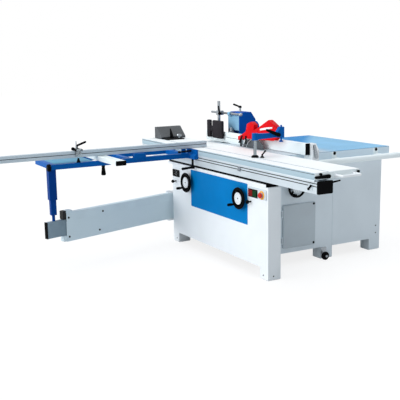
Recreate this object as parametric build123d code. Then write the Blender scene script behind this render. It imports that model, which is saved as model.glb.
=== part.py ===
from build123d import *
import math
import os

# Sliding table saw and spindle moulder in one machine, in millimetres.
# The front faces -Y, the sliding table runs along X and +Z is up.
# The origin is the centre of the sole of the front right foot.

# Sheet work and fits
SHEET = 3.0             # cabinet sheet
FOOT_SEAT = 3.0         # height of the sheet edge above the floor
FOOT_T = 12.0           # foot plate thickness
SLIDE_GAP = 0.3         # gap between pieces that slide on each other
RUN_FIT = 0.05          # radial clearance of shafts and pins

# Front frame
FRAME_LEN = 1473.0
FRAME_D = 110.0         # also the depth of the front feet
FRAME_H = 684.0
LEG_W = 100.0
FRONT_SKIRT_Z = 85.0
PANEL_LEN, PANEL_H, PANEL_T = 868.0, 309.0, 4.0
PANEL_RIGHT = 267.0     # from the right end of the frame to the panel
PANEL_TOP_GAP = 8.0

# Main body
BODY_LEN = 1196.0
BODY_D = 1201.0
BODY_SKIRT_Z = 96.0
COLUMN_Y, COLUMN_W = 586.0, 115.0    # from the back of the front frame
REAR_FOOT_W = 113.0
COVER_Y = 697.0         # seam of the end cover
DOOR_Y, DOOR_W = 210.0, 309.0
DOOR_Z, DOOR_H = 136.0, 339.0
DOOR_T = 16.0

# Tables and beam
TABLE_Z = 855.0
TABLE_T = 60.0
TABLE_WALL = 12.0
RIB_COLUMNS = 4         # pockets between the ribs along X
RIB_ROWS = 2
MAIN_LEN, MAIN_D = 1255.0, 452.0
EXT_LEN, EXT_D = 1075.0, 568.0
TABLE_JOINT = 2.0       # gap between the two fixed tables
SLIDE_TABLE_GAP = 7.0   # gap between sliding and fixed tables
TABLE_SETBACK = 8.0     # table end behind the end of the body
SLIDER_LEN, SLIDER_W, SLIDER_T = 2606.0, 371.0, 48.0
SLIDER_NEAR = 520.0     # sliding table beyond the right end of the frame
BEAM_LEN, BEAM_W, BEAM_H = 2595.0, 120.0, 81.0
BEAM_NEAR = 545.0
BEAM_INSET = 2.0
BEAM_CAP_T = 12.0
RAIL_T, RAIL_PAD_H = 18.0, 17.0
RAIL_LEN, RAIL_W = 1525.0, 106.0
ROD_R = 6.0             # guide rods of the sliding table
ROD_PITCH = 80.0
SLOT_W, SLOT_HEAD_W, SLOT_LIP, SLOT_HEAD_H = 12.0, 22.0, 6.0, 8.0

# Saw
BLADE_R, BLADE_T = 157.5, 3.2
BLADE_IN, BLADE_BACK = 505.0, 37.0    # from the near right corner of the main table
CUT_HEIGHT = 80.0       # blade above the table at rest
SAW_TEETH = 36
KNIFE_T = 2.8
GUARD_W = 40.0
GUARD_LIFT = 28.0

# Spindle moulder
SPINDLE_BEHIND, SPINDLE_BACK = 510.0, 122.0    # from the blade and the table edge
SPINDLE_R = 15.0
SPINDLE_HOLE_R = 90.0
CUTTER_R, CUTTER_H = 48.0, 40.0
BOARD_T, BOARD_H = 20.0, 63.0
BOARD_AHEAD = 60.0      # from the board face to the spindle
BOARD_GAP = 100.0

# Outrigger, crosscut fence and swing arm
OUT_IN, OUT_DEPTH = 383.0, 400.0    # from the left end of the frame
OUT_REACH = 1215.0      # from the sliding table edge to the outer tube
TUBE = 40.0
TUBE_H = 38.0
TUBE_WALL = 3.0
OUT_DROP = 35.0         # below the table top
BAR_LEN, BAR_W = 640.0, 80.0
BAR_IN, BAR_OUT = 425.0, 330.0    # from the outer tube and beyond the near tube
FENCE_LEN, FENCE_T, FENCE_H = 1800.0, 45.0, 50.0
FENCE_LIFT = 2.0
FENCE_IN, FENCE_OVERLAP = 35.0, 150.0    # behind the near tube and over the table
POST_IN, POST_EDGE = 100.0, 30.0    # behind the near tube and from the outer edge
ARM_PIVOT_OUT, ARM_PIVOT_AHEAD = 58.0, 13.0    # from the left corner of the frame
ARM_W, ARM_H, ARM_WALL = 50.0, 230.0, 4.0
ARM_Z = 190.0
ARM_PIN_R = 12.0
SLIDER_TUBE_W, SLIDER_TUBE_H = 36.0, 130.0
SLIDER_TUBE_Z = 240.0

# Rip fence
RIP_RAIL_R = 22.5
RIP_RAIL_OUT, RIP_RAIL_DROP = 85.0, 67.0    # from the table end and its top
RIP_RAIL_LEN = 1085.0
RIP_LEN, RIP_T, RIP_H = 900.0, 40.0, 87.0
RIP_IN = 97.0           # from the near edge of the main table
RIP_LIFT = 3.0

# Controls
WHEEL_R, WHEEL_RIM_R = 83.0, 9.0
WHEEL_SHAFT_R = 8.0
WHEEL_STANDOFF = 34.0
BUTTON_TRAVEL = 4.0
ESTOP_TRAVEL = 6.0
CASTER_R, CASTER_W = 33.0, 24.0

# Places worked out from the sizes above
X_RIGHT = LEG_W / 2
X_LEFT = X_RIGHT - FRAME_LEN
Y_FRONT = -FRAME_D / 2
Y_BACK = FRAME_D / 2
BODY_X = X_LEFT + BODY_LEN
BODY_Y1 = Y_BACK + BODY_D
BODY_TOP = TABLE_Z - TABLE_T
BEAM_Z = FRAME_H + RAIL_T + RAIL_PAD_H
BEAM_TOP = BEAM_Z + BEAM_H
BEAM_Y0 = Y_FRONT + BEAM_INSET
BEAM_Y1 = BEAM_Y0 + BEAM_W
BEAM_X1 = X_RIGHT + BEAM_NEAR
BEAM_X0 = BEAM_X1 - BEAM_LEN
BEAM_MID_Y = (BEAM_Y0 + BEAM_Y1) / 2
SLIDER_X1 = X_RIGHT + SLIDER_NEAR
SLIDER_X0 = SLIDER_X1 - SLIDER_LEN
SLIDER_Y1 = Y_FRONT + SLIDER_W
SLIDER_Z = TABLE_Z - SLIDER_T
MAIN_X1 = BODY_X - TABLE_SETBACK
MAIN_X0 = MAIN_X1 - MAIN_LEN
MAIN_Y0 = SLIDER_Y1 + SLIDE_TABLE_GAP
MAIN_Y1 = MAIN_Y0 + MAIN_D
EXT_Y0 = MAIN_Y1 + TABLE_JOINT
EXT_Y1 = EXT_Y0 + EXT_D
BLADE_X, BLADE_Y = MAIN_X1 - BLADE_IN, MAIN_Y0 + BLADE_BACK
ARBOR_Z = TABLE_Z + CUT_HEIGHT - BLADE_R
SPINDLE_X, SPINDLE_Y = BLADE_X - SPINDLE_BEHIND, MAIN_Y0 + SPINDLE_BACK
BOARD_Y = SPINDLE_Y - BOARD_AHEAD
OUT_NEAR_X = X_LEFT + OUT_IN
OUT_Y0 = Y_FRONT - OUT_REACH
OUT_TOP = TABLE_Z - OUT_DROP
BAR_X1, BAR_Y = OUT_NEAR_X + BAR_OUT, OUT_Y0 + BAR_IN
POST_X, POST_Y = OUT_NEAR_X - POST_IN, OUT_Y0 + POST_EDGE
ARM_PIVOT_X, ARM_PIVOT_Y = X_LEFT - ARM_PIVOT_OUT, Y_FRONT - ARM_PIVOT_AHEAD
RIP_RAIL_X, RIP_RAIL_Z = MAIN_X1 + RIP_RAIL_OUT, TABLE_Z - RIP_RAIL_DROP
RIP_Y = MAIN_Y0 + RIP_IN

NODES = {}


def keep(name, *solids):
    """Store one node: a single solid, or a group of separate ones."""
    NODES[name] = solids[0] if len(solids) == 1 else Compound(children=list(solids))


def block(x0, x1, y0, y1, z0, z1):
    """Box between two opposite corners."""
    middle = Pos((x0 + x1) / 2, (y0 + y1) / 2, (z0 + z1) / 2)
    return middle * Box(x1 - x0, y1 - y0, z1 - z0)


def soft_block(x0, x1, y0, y1, z0, z1, radius, axis):
    """Box with the four edges along one axis rounded."""
    solid = block(x0, x1, y0, y1, z0, z1)
    return fillet(solid.edges().filter_by(axis), radius)


def rod(start, end, radius):
    """Round bar from one point to another."""
    line = Vector(*end) - Vector(*start)
    bar = Cylinder(radius, line.length, align=(Align.CENTER, Align.CENTER, Align.MIN))
    return Plane(origin=start, z_dir=line) * bar


def turned(points, origin, direction):
    """Solid of revolution from (radius, height) points along a direction."""
    outline = make_face(Plane.XZ * Polyline(*points, close=True))
    return Plane(origin=origin, z_dir=direction) * revolve(outline, Axis.Z)


def prism_x(points, x0, x1):
    """Profile of (y, z) points drawn out along X."""
    face = make_face(Plane.YZ * Polyline(*points, close=True))
    return Pos(x0, 0, 0) * extrude(face, x1 - x0, dir=(1, 0, 0))


def prism_y(points, y0, y1):
    """Profile of (x, z) points drawn out along Y."""
    face = make_face(Plane.XZ * Polyline(*points, close=True))
    return Pos(0, y0, 0) * extrude(face, y1 - y0, dir=(0, 1, 0))


def slab_x(outline, x0, x1):
    """Flat (y, z) outline drawn out along X."""
    return Pos(x0, 0, 0) * extrude(Plane.YZ * outline, x1 - x0, dir=(1, 0, 0))


def slab_y(outline, y0, y1):
    """Flat (x, z) outline drawn out along Y."""
    return Pos(0, y0, 0) * extrude(Plane.XZ * outline, y1 - y0, dir=(0, 1, 0))


def inset(points, wall):
    """Flat outline of a closed polygon drawn in by a wall thickness."""
    return offset(make_face(Polyline(*points, close=True)), -wall, kind=Kind.INTERSECTION)


def link(start, r0, end, r1):
    """Flat outline of two round ends joined by their common tangents."""
    dx, dy = end[0] - start[0], end[1] - start[1]
    turn = math.atan2(dy, dx)
    lean = math.acos((r0 - r1) / math.hypot(dx, dy))
    corners = []
    for (cx, cy), radius, sides in ((start, r0, (1, -1)), (end, r1, (-1, 1))):
        for side in sides:
            angle = turn + side * lean
            corners.append((cx + radius * math.cos(angle), cy + radius * math.sin(angle)))
    web = make_face(Polyline(*corners, close=True))
    return web + Pos(*start) * Circle(r0) + Pos(*end) * Circle(r1)


def ball_knob(origin, direction, radius, stem_r, stem):
    """Ball on a stem: the stem starts at the origin."""
    bar = rod((0, 0, 0), (0, 0, stem + radius / 2), stem_r)
    ball = Pos(0, 0, stem + radius * 0.9) * Sphere(radius)
    return Plane(origin=origin, z_dir=direction) * (bar + ball)


# Cabinet

SPINDLE_WHEEL_AT = (X_LEFT + 311.0, FRAME_H - 119.0)
RISE_WHEEL_AT = (X_RIGHT - 338.0, FRAME_H - 124.0)
TILT_WHEEL_AT = (Y_BACK + 325.0, FRAME_H - 72.0)
LOCK_LEFT_AT = (X_LEFT + 61.0, FRAME_H - 143.0)
LOCK_RIGHT_AT = (X_RIGHT - 222.0, FRAME_H - 133.0)
LOCK_STEM_R, LOCK_BALL_R, LOCK_STEM = 6.0, 14.0, 30.0
SWITCH_X0, SWITCH_X1 = X_RIGHT - 248.0, X_RIGHT - 15.0
SWITCH_Z0, SWITCH_Z1 = FRAME_H - 95.0, FRAME_H - 21.0
SWITCH_T, SWITCH_FLOOR = 10.0, 2.0
BUTTON_W, BUTTON_H, BUTTON_PITCH = 49.0, 44.0, 54.0
BUTTON_X, BUTTON_Z = SWITCH_X0 + 40.0, SWITCH_Z0 + 31.0
ESTOP_X, ESTOP_Z = SWITCH_X1 - 50.0, SWITCH_Z0 + 33.0
GAUGE_X0, GAUGE_X1 = X_LEFT + 8.0, X_LEFT + 133.0
GAUGE_Z0, GAUGE_Z1 = FRAME_H - 102.0, FRAME_H - 41.0
GAUGE_T, GAUGE_FLOOR, GAUGE_R = 5.0, 3.0, 24.0
ESTOP_R, ESTOP_STEM_R, ESTOP_DISC_R, ESTOP_DISC_T = 20.0, 9.0, 31.0, 3.0
HINGE_PIN_R, HINGE_R, HINGE_H = 4.0, 8.0, 40.0
HINGE_Y = Y_BACK + DOOR_Y - HINGE_R - 1.0
HINGE_X = BODY_X + HINGE_R + 1.0
HINGE_ZS = (DOOR_Z + 45.0, DOOR_Z + DOOR_H - 45.0 - HINGE_H)
LUG_H = 8.0
DOOR_LAP = 12.0         # lap of the door round its opening
BEAM_ROOM = 3.0         # room between the beam and the body behind it
SAW_ROOM = 300.0        # half width of the opening above the saw unit
CASTER_AT = (BODY_X + 45.0, Y_BACK + COLUMN_Y + 12.0, CASTER_R + 1.0)
AXLE_R = 6.0

FRONT_FEET = [(X_RIGHT - LEG_W, X_RIGHT, Y_FRONT, Y_BACK),
              (X_LEFT, X_LEFT + LEG_W, Y_FRONT, Y_BACK)]
BODY_FEET = [(x, x + LEG_W, Y_BACK + y, Y_BACK + y + w)
             for x in (BODY_X - LEG_W, X_LEFT)
             for y, w in ((COLUMN_Y, COLUMN_W), (BODY_D - REAR_FOOT_W, REAR_FOOT_W))]


def front_bore(at, radius):
    """Cutter for a round hole through the front sheet."""
    return rod((at[0], Y_FRONT - 1, at[1]), (at[0], Y_FRONT + SHEET + 1, at[1]), radius)


def front_frame():
    """Folded front frame on two channel legs."""
    frame = block(X_LEFT, X_RIGHT, Y_FRONT, Y_BACK, FOOT_SEAT, FRAME_H)
    frame -= block(X_LEFT + SHEET, X_RIGHT - SHEET, Y_FRONT + SHEET, Y_BACK - SHEET,
                   0, FRAME_H - SHEET)
    frame -= block(X_LEFT + LEG_W, X_RIGHT - LEG_W, Y_FRONT - 1, Y_BACK + 1, 0, FRONT_SKIRT_Z)
    for x in (X_LEFT + LEG_W - SHEET, X_RIGHT - LEG_W):
        frame += block(x, x + SHEET, Y_FRONT, Y_BACK, FOOT_SEAT, FRAME_H - SHEET)
    for at in (SPINDLE_WHEEL_AT, RISE_WHEEL_AT):
        frame -= front_bore(at, WHEEL_SHAFT_R + RUN_FIT)
    for at in (LOCK_LEFT_AT, LOCK_RIGHT_AT):
        frame -= front_bore(at, LOCK_STEM_R + RUN_FIT)
    return frame


def front_panel():
    """Pressed panel with rounded corners and a raised field."""
    x1 = X_RIGHT - PANEL_RIGHT
    z1 = FRAME_H - PANEL_TOP_GAP
    panel = soft_block(x1 - PANEL_LEN, x1, Y_FRONT - PANEL_T, Y_FRONT,
                       z1 - PANEL_H, z1, 8.0, Axis.Y)
    panel = chamfer(panel.faces().sort_by(Axis.Y)[0].edges(), PANEL_T / 2)
    for at in (SPINDLE_WHEEL_AT, RISE_WHEEL_AT):
        panel -= rod((at[0], Y_FRONT - 2 * PANEL_T, at[1]), (at[0], Y_FRONT, at[1]),
                     WHEEL_SHAFT_R + SLIDE_GAP)
    return panel


def mounting_rail():
    """Rail on the frame with raised pads under the beam."""
    x1 = X_RIGHT - 20.0
    y0 = Y_FRONT - 6.0
    rail = block(x1 - RAIL_LEN, x1, y0, y0 + RAIL_W, FRAME_H, FRAME_H + RAIL_T)
    rail = chamfer(rail.edges().filter_by(Axis.X).group_by(Axis.Z)[-1], 3.0)
    pad_len, pads = 120.0, 4
    step = (RAIL_LEN - pad_len - 60.0) / (pads - 1)
    for i in range(pads):
        x = x1 - RAIL_LEN + 30.0 + i * step
        rail += block(x, x + pad_len, BEAM_Y0 + 10.0, y0 + RAIL_W, FRAME_H + RAIL_T, BEAM_Z)
    return rail


def door_hinges():
    """Lugs and pins that carry the end door."""
    parts = []
    for z in HINGE_ZS:
        for low in (z - SLIDE_GAP - LUG_H, z + HINGE_H + SLIDE_GAP):
            parts.append(block(BODY_X, HINGE_X + HINGE_PIN_R + 2, HINGE_Y - 6, HINGE_Y + 6,
                               low, low + LUG_H))
        parts.append(rod((HINGE_X, HINGE_Y, z - LUG_H), (HINGE_X, HINGE_Y, z + HINGE_H + LUG_H),
                         HINGE_PIN_R))
    return parts


def body_shell():
    """Sheet body with column feet, open below and under the tables."""
    shell = block(X_LEFT, BODY_X, Y_BACK, BODY_Y1, BODY_SKIRT_Z, BODY_TOP)
    for x0, x1, y0, y1 in BODY_FEET:
        shell += block(x0, x1, y0, y1, FOOT_SEAT, BODY_SKIRT_Z)
    shell -= block(X_LEFT + SHEET, BODY_X - SHEET, Y_BACK + SHEET, BODY_Y1 - SHEET,
                   BODY_SKIRT_Z - 1, BODY_TOP - SHEET)
    for x0, x1, y0, y1 in BODY_FEET:
        shell -= block(x0 + SHEET, x1 - SHEET, y0 + SHEET, y1 - SHEET, 0, BODY_SKIRT_Z)
    rim = 40.0
    for x0, y0, y1 in ((X_LEFT + rim, MAIN_Y0 + TABLE_WALL, MAIN_Y1 - rim),
                       (MAIN_X1 - EXT_LEN + rim, MAIN_Y1 - rim - 1, BODY_Y1 - rim)):
        shell -= block(x0, BODY_X - rim, y0, y1, BODY_TOP - 2 * SHEET, BODY_TOP + 1)
    shell -= block(BLADE_X - SAW_ROOM, BLADE_X + SAW_ROOM, BEAM_Y1 + 20.0, BODY_Y1 - rim,
                   BODY_TOP - 2 * SHEET, BODY_TOP + 1)
    shell -= block(X_LEFT - 1, BODY_X + 1, Y_BACK - 1, BEAM_Y1 + BEAM_ROOM, FRAME_H, BODY_TOP + 1)
    shell -= block(BODY_X - 2 * SHEET, BODY_X + 1, Y_BACK + DOOR_Y + DOOR_LAP,
                   Y_BACK + DOOR_Y + DOOR_W - DOOR_LAP, DOOR_Z + DOOR_LAP,
                   DOOR_Z + DOOR_H - DOOR_LAP)
    shell -= block(BODY_X - 2 * SHEET, BODY_X + 1, Y_BACK + COVER_Y + rim,
                   BODY_Y1 - REAR_FOOT_W - rim, 2 * BODY_SKIRT_Z, BODY_TOP - 2 * rim)
    shell -= rod((BODY_X - 2 * SHEET, *TILT_WHEEL_AT), (BODY_X + 1, *TILT_WHEEL_AT),
                 WHEEL_SHAFT_R + RUN_FIT)
    for piece in door_hinges():
        shell += piece
    return shell


def end_cover():
    """Bolted cover of the rear half of the end face."""
    y0 = Y_BACK + COVER_Y
    foot = BODY_Y1 - REAR_FOOT_W
    outline = [(y0, BODY_SKIRT_Z), (foot, BODY_SKIRT_Z), (foot, FOOT_SEAT),
               (BODY_Y1, FOOT_SEAT), (BODY_Y1, BODY_TOP - 2), (y0, BODY_TOP - 2)]
    cover = prism_x(outline, BODY_X, BODY_X + SHEET)
    return chamfer(cover.faces().sort_by(Axis.X)[-1].edges(), 1.0)


def end_door():
    """Pan-shaped door with two hinge knuckles and a raised field."""
    y0, y1 = Y_BACK + DOOR_Y, Y_BACK + DOOR_Y + DOOR_W
    gap = SLIDE_GAP
    door = block(BODY_X + gap, BODY_X + DOOR_T, y0, y1, DOOR_Z, DOOR_Z + DOOR_H)
    door = fillet(door.edges().filter_by(Axis.X), 10.0)
    door = chamfer(door.faces().sort_by(Axis.X)[-1].edges(), 4.0)
    door -= block(BODY_X, BODY_X + DOOR_T - SHEET, y0 + SHEET, y1 - SHEET,
                  DOOR_Z + SHEET, DOOR_Z + DOOR_H - SHEET)
    for z in HINGE_ZS:
        door += block(HINGE_X - 3, HINGE_X + 3, HINGE_Y, y0 + SHEET, z, z + HINGE_H)
        door += rod((HINGE_X, HINGE_Y, z), (HINGE_X, HINGE_Y, z + HINGE_H), HINGE_R)
        door -= rod((HINGE_X, HINGE_Y, z - 1), (HINGE_X, HINGE_Y, z + HINGE_H + 1),
                    HINGE_PIN_R + RUN_FIT)
    return door


def foot_plates():
    """One plate inside each foot, standing on the floor."""
    return [block(x0 + SHEET, x1 - SHEET, y0 + SHEET, y1 - SHEET, 0, FOOT_T)
            for x0, x1, y0, y1 in FRONT_FEET + BODY_FEET]


def caster_bracket():
    """Plate and axle of the transport wheel."""
    x, y, z = CASTER_AT
    plate = soft_block(BODY_X, BODY_X + 6, y - 10, y + 40, z - 20, z + 60, 6.0, Axis.X)
    axle = rod((BODY_X, y, z), (x + CASTER_W / 2 + 8, y, z), AXLE_R)
    spacer = rod((BODY_X, y, z), (x - CASTER_W / 2 - SLIDE_GAP, y, z), AXLE_R + 4)
    head = rod((x + CASTER_W / 2 + SLIDE_GAP, y, z), (x + CASTER_W / 2 + 8, y, z), AXLE_R + 4)
    return plate + spacer + axle + head


def caster_wheel():
    """Wheel with a crowned tread."""
    half = CASTER_W / 2
    bore = AXLE_R + RUN_FIT
    outline = [(bore, -half), (CASTER_R - 8, -half), (CASTER_R - 8, -half + 3),
               (CASTER_R - 2, -half + 3), (CASTER_R, -half + 6), (CASTER_R, half - 6),
               (CASTER_R - 2, half - 3), (CASTER_R - 8, half - 3), (CASTER_R - 8, half),
               (bore, half)]
    return turned(outline, CASTER_AT, (1, 0, 0))


keep("front_frame", front_frame())
keep("front_panel", front_panel())
keep("mounting_rail", mounting_rail())
keep("body_shell", body_shell())
keep("end_cover", end_cover())
keep("end_door", end_door())
keep("foot_plates", *foot_plates())
keep("caster_bracket", caster_bracket())
keep("caster_wheel", caster_wheel())


# Controls

WHEEL_HUB_R, WHEEL_HUB_L = 20.0, 26.0
WHEEL_SHAFT_L = 60.0
GRIP_R, GRIP_L = 11.0, 62.0
GRIP_ANGLE = 225.0
SPOKES = 3
RIM_SIDES = 12


def handwheel():
    """Dished handwheel on its shaft: the mounting face is at height 0."""
    ring = WHEEL_R - WHEEL_RIM_R
    section = []
    for i in range(RIM_SIDES):
        turn = 2 * math.pi * (i + 0.5) / RIM_SIDES
        section.append((ring + WHEEL_RIM_R * math.cos(turn),
                        WHEEL_STANDOFF + WHEEL_RIM_R * math.sin(turn)))
    wheel = turned(section, (0, 0, 0), (0, 0, 1))
    hub = [(0, 2), (WHEEL_HUB_R, 2), (WHEEL_HUB_R, WHEEL_HUB_L - 4),
           (WHEEL_HUB_R - 4, WHEEL_HUB_L), (0, WHEEL_HUB_L)]
    wheel += turned(hub, (0, 0, 0), (0, 0, 1))
    wheel += rod((0, 0, 4), (0, 0, -WHEEL_SHAFT_L), WHEEL_SHAFT_R)
    for i in range(SPOKES):
        turn = math.radians(GRIP_ANGLE + 360.0 * i / SPOKES)
        end = (ring * math.cos(turn), ring * math.sin(turn), WHEEL_STANDOFF)
        wheel += rod((0, 0, WHEEL_HUB_L / 2), end, WHEEL_RIM_R * 0.8)
    turn = math.radians(GRIP_ANGLE)
    foot = (ring * math.cos(turn), ring * math.sin(turn), WHEEL_STANDOFF)
    grip = [(0, 0), (GRIP_R * 0.7, 0), (GRIP_R * 0.7, 12), (GRIP_R, 30),
            (GRIP_R, GRIP_L - 6), (GRIP_R - 5, GRIP_L), (0, GRIP_L)]
    return wheel + turned(grip, foot, (0, 0, 1))


def on_front(x, z, depth=0.0):
    """Frame on the front face, looking out towards -Y."""
    return Plane(origin=(x, Y_FRONT - depth, z), x_dir=(1, 0, 0), z_dir=(0, -1, 0))


def button_box(i, grow):
    """Outline of a push button or of its pocket, by how much it grows."""
    x = BUTTON_X + i * BUTTON_PITCH
    return (x - BUTTON_W / 2 - grow, x + BUTTON_W / 2 + grow,
            BUTTON_Z - BUTTON_H / 2 - grow, BUTTON_Z + BUTTON_H / 2 + grow)


def switch_plate():
    """Switch housing with two button pockets and the emergency stop seat."""
    y0 = Y_FRONT - SWITCH_T
    plate = soft_block(SWITCH_X0, SWITCH_X1, y0, Y_FRONT, SWITCH_Z0, SWITCH_Z1, 6.0, Axis.Y)
    plate = chamfer(plate.faces().sort_by(Axis.Y)[0].edges(), 2.0)
    plate += on_front(ESTOP_X, ESTOP_Z) * rod((0, 0, 0), (0, 0, SWITCH_T + ESTOP_DISC_T),
                                              ESTOP_DISC_R)
    for i in range(2):
        x0, x1, z0, z1 = button_box(i, SLIDE_GAP)
        plate -= block(x0, x1, y0 - 1, Y_FRONT - SWITCH_FLOOR, z0, z1)
    return plate - on_front(ESTOP_X, ESTOP_Z, SWITCH_FLOOR) * rod(
        (0, 0, 0), (0, 0, SWITCH_T + ESTOP_DISC_T + 1), ESTOP_STEM_R + RUN_FIT)


def push_button(i):
    """Push button, raised in front of the switch housing."""
    x0, x1, z0, z1 = button_box(i, 0)
    back = Y_FRONT - SWITCH_FLOOR - BUTTON_TRAVEL - SLIDE_GAP
    button = soft_block(x0, x1, Y_FRONT - SWITCH_T - BUTTON_TRAVEL - 3, back, z0, z1, 2.0, Axis.Y)
    return chamfer(button.faces().sort_by(Axis.Y)[0].edges(), 1.5)


def emergency_stop():
    """Mushroom head on its stem."""
    seat = SWITCH_T + ESTOP_DISC_T + ESTOP_TRAVEL + 1.0
    base = SWITCH_FLOOR + ESTOP_TRAVEL + SLIDE_GAP
    outline = [(0, base), (ESTOP_STEM_R, base), (ESTOP_STEM_R, seat), (ESTOP_R * 0.8, seat),
               (ESTOP_R, seat + 6), (ESTOP_R, seat + 11), (ESTOP_R * 0.75, seat + 16),
               (ESTOP_R * 0.4, seat + 18), (0, seat + 18)]
    return on_front(ESTOP_X, ESTOP_Z) * turned(outline, (0, 0, 0), (0, 0, 1))


def gauge_plate():
    """Dial plate of the spindle height with its round window."""
    plate = soft_block(GAUGE_X0, GAUGE_X1, Y_FRONT - GAUGE_T, Y_FRONT, GAUGE_Z0, GAUGE_Z1, 8.0, Axis.Y)
    middle = on_front((GAUGE_X0 + GAUGE_X1) / 2, (GAUGE_Z0 + GAUGE_Z1) / 2, GAUGE_FLOOR)
    return plate - middle * rod((0, 0, 0), (0, 0, GAUGE_T), GAUGE_R)


def lock_knob(at):
    """Ball knob that locks a movement."""
    knob = ball_knob((0, 0, -12.0), (0, 0, 1), LOCK_BALL_R, LOCK_STEM_R, LOCK_STEM)
    return on_front(*at) * knob


keep("rise_wheel", on_front(*RISE_WHEEL_AT, PANEL_T) * handwheel())
keep("spindle_wheel", on_front(*SPINDLE_WHEEL_AT, PANEL_T) * handwheel())
keep("tilt_wheel", Plane(origin=(BODY_X, *TILT_WHEEL_AT), x_dir=(0, 1, 0), z_dir=(1, 0, 0))
     * handwheel())
keep("switch_plate", switch_plate())
keep("start_button", push_button(1))
keep("stop_button", push_button(0))
keep("emergency_stop", emergency_stop())
keep("gauge_plate", gauge_plate())
keep("lock_knob_left", lock_knob(LOCK_LEFT_AT))
keep("lock_knob_right", lock_knob(LOCK_RIGHT_AT))


# Tables and slide

ROD_Z = BEAM_TOP + ROD_R - 2.0
ROD_YS = (BEAM_MID_Y - ROD_PITCH / 2, BEAM_MID_Y + ROD_PITCH / 2)
BEAM_SLOT_W, BEAM_SLOT_HEAD_W = 6.0, 11.0
BEAM_SLOT_DROPS = (13.0, 32.0)       # below the top of the beam
CLAMP_SLOT_Y = Y_FRONT + 113.0
FRONT_SLOT_DROP = 26.0
INSERT_T, INSERT_LIP = 6.0, 8.0
SAW_HOLE_X0, SAW_HOLE_X1 = BLADE_X - 236.0, BLADE_X + 170.0
SAW_HOLE_Y0, SAW_HOLE_Y1 = BLADE_Y - 16.0, BLADE_Y + 80.0
RING_R0, RING_R1, RING_T = 150.0, 170.0, 15.0
TRUNNION_HALF = 255.0
QUILL_R, QUILL_WALL = 60.0, 20.0
SLEEVE_Z = TABLE_Z - 215.0


def front_slot(x0, x1, y, z, width, head, lip, depth):
    """Cutter for a T-slot along X in a face that looks towards -Y."""
    neck = block(x0 - 1, x1 + 1, y - 1, y + lip + 1, z - width / 2, z + width / 2)
    return neck + block(x0 - 1, x1 + 1, y + lip, y + lip + depth, z - head / 2, z + head / 2)


def slide_beam():
    """Hollow beam with two front slots and the guide rods on top."""
    beam = block(BEAM_X0, BEAM_X1, BEAM_Y0, BEAM_Y1, BEAM_Z, BEAM_TOP)
    beam -= block(BEAM_X0 - 1, BEAM_X1 + 1, BEAM_Y0 + 22, BEAM_Y1 - 6, BEAM_Z + 6, BEAM_TOP - 8)
    for drop in BEAM_SLOT_DROPS:
        beam -= front_slot(BEAM_X0, BEAM_X1, BEAM_Y0, BEAM_TOP - drop, BEAM_SLOT_W,
                           BEAM_SLOT_HEAD_W, 4.0, 7.0)
    for y in ROD_YS:
        beam += rod((BEAM_X0 + 20, y, ROD_Z), (BEAM_X1 - 20, y, ROD_Z), ROD_R)
    return beam


def beam_end_caps():
    """Caps on both ends of the beam, just below the sliding table."""
    return [soft_block(x, x + BEAM_CAP_T, BEAM_Y0 - BEAM_INSET, BEAM_Y1, BEAM_Z, BEAM_TOP + 4,
                       8.0, Axis.X)
            for x in (BEAM_X1, BEAM_X0 - BEAM_CAP_T)]


def sliding_table():
    """Extruded table with hollow chambers, T-slots and rod grooves."""
    table = block(SLIDER_X0, SLIDER_X1, Y_FRONT, SLIDER_Y1, SLIDER_Z, TABLE_Z)
    middle = (CLAMP_SLOT_Y + SLIDER_Y1) / 2
    for y0, y1 in ((Y_FRONT + 24, CLAMP_SLOT_Y - 17), (CLAMP_SLOT_Y + 17, middle - 3),
                   (middle + 3, SLIDER_Y1 - 6)):
        table -= block(SLIDER_X0 - 1, SLIDER_X1 + 1, y0, y1, SLIDER_Z + 8, TABLE_Z - 7)
    table -= block(SLIDER_X0 - 1, SLIDER_X1 + 1, CLAMP_SLOT_Y - SLOT_W / 2,
                   CLAMP_SLOT_Y + SLOT_W / 2, TABLE_Z - SLOT_LIP - 1, TABLE_Z + 1)
    table -= block(SLIDER_X0 - 1, SLIDER_X1 + 1, CLAMP_SLOT_Y - SLOT_HEAD_W / 2,
                   CLAMP_SLOT_Y + SLOT_HEAD_W / 2, TABLE_Z - SLOT_LIP - SLOT_HEAD_H,
                   TABLE_Z - SLOT_LIP)
    table -= front_slot(SLIDER_X0, SLIDER_X1, Y_FRONT, TABLE_Z - FRONT_SLOT_DROP, SLOT_W,
                        SLOT_HEAD_W, SLOT_LIP, SLOT_HEAD_H)
    table -= block(SLIDER_X0 - 1, SLIDER_X1 + 1, Y_FRONT - 1, Y_FRONT + 1, TABLE_Z - 11.5,
                   TABLE_Z - 10)
    for y in ROD_YS:
        table -= rod((SLIDER_X0 - 1, y, ROD_Z), (SLIDER_X1 + 1, y, ROD_Z), ROD_R + SLIDE_GAP)
    return table


def ribbed_table(x0, x1, y0, y1, nx, ny):
    """Cast table top with a grid of ribs underneath."""
    table = block(x0, x1, y0, y1, BODY_TOP, TABLE_Z)
    table = chamfer(table.faces().sort_by(Axis.Z)[-1].edges(), 1.5)
    step_x = (x1 - x0 - TABLE_WALL) / nx
    step_y = (y1 - y0 - TABLE_WALL) / ny
    for i in range(nx):
        for j in range(ny):
            px = x0 + TABLE_WALL + i * step_x
            py = y0 + TABLE_WALL + j * step_y
            table -= block(px, px + step_x - TABLE_WALL, py, py + step_y - TABLE_WALL,
                           BODY_TOP - 1, TABLE_Z - TABLE_WALL)
    return table


def tilt_cylinder(x0, x1, radius):
    """Round bar on the tilt axis of the saw."""
    return rod((x0, BLADE_Y, TABLE_Z), (x1, BLADE_Y, TABLE_Z), radius)


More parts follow.
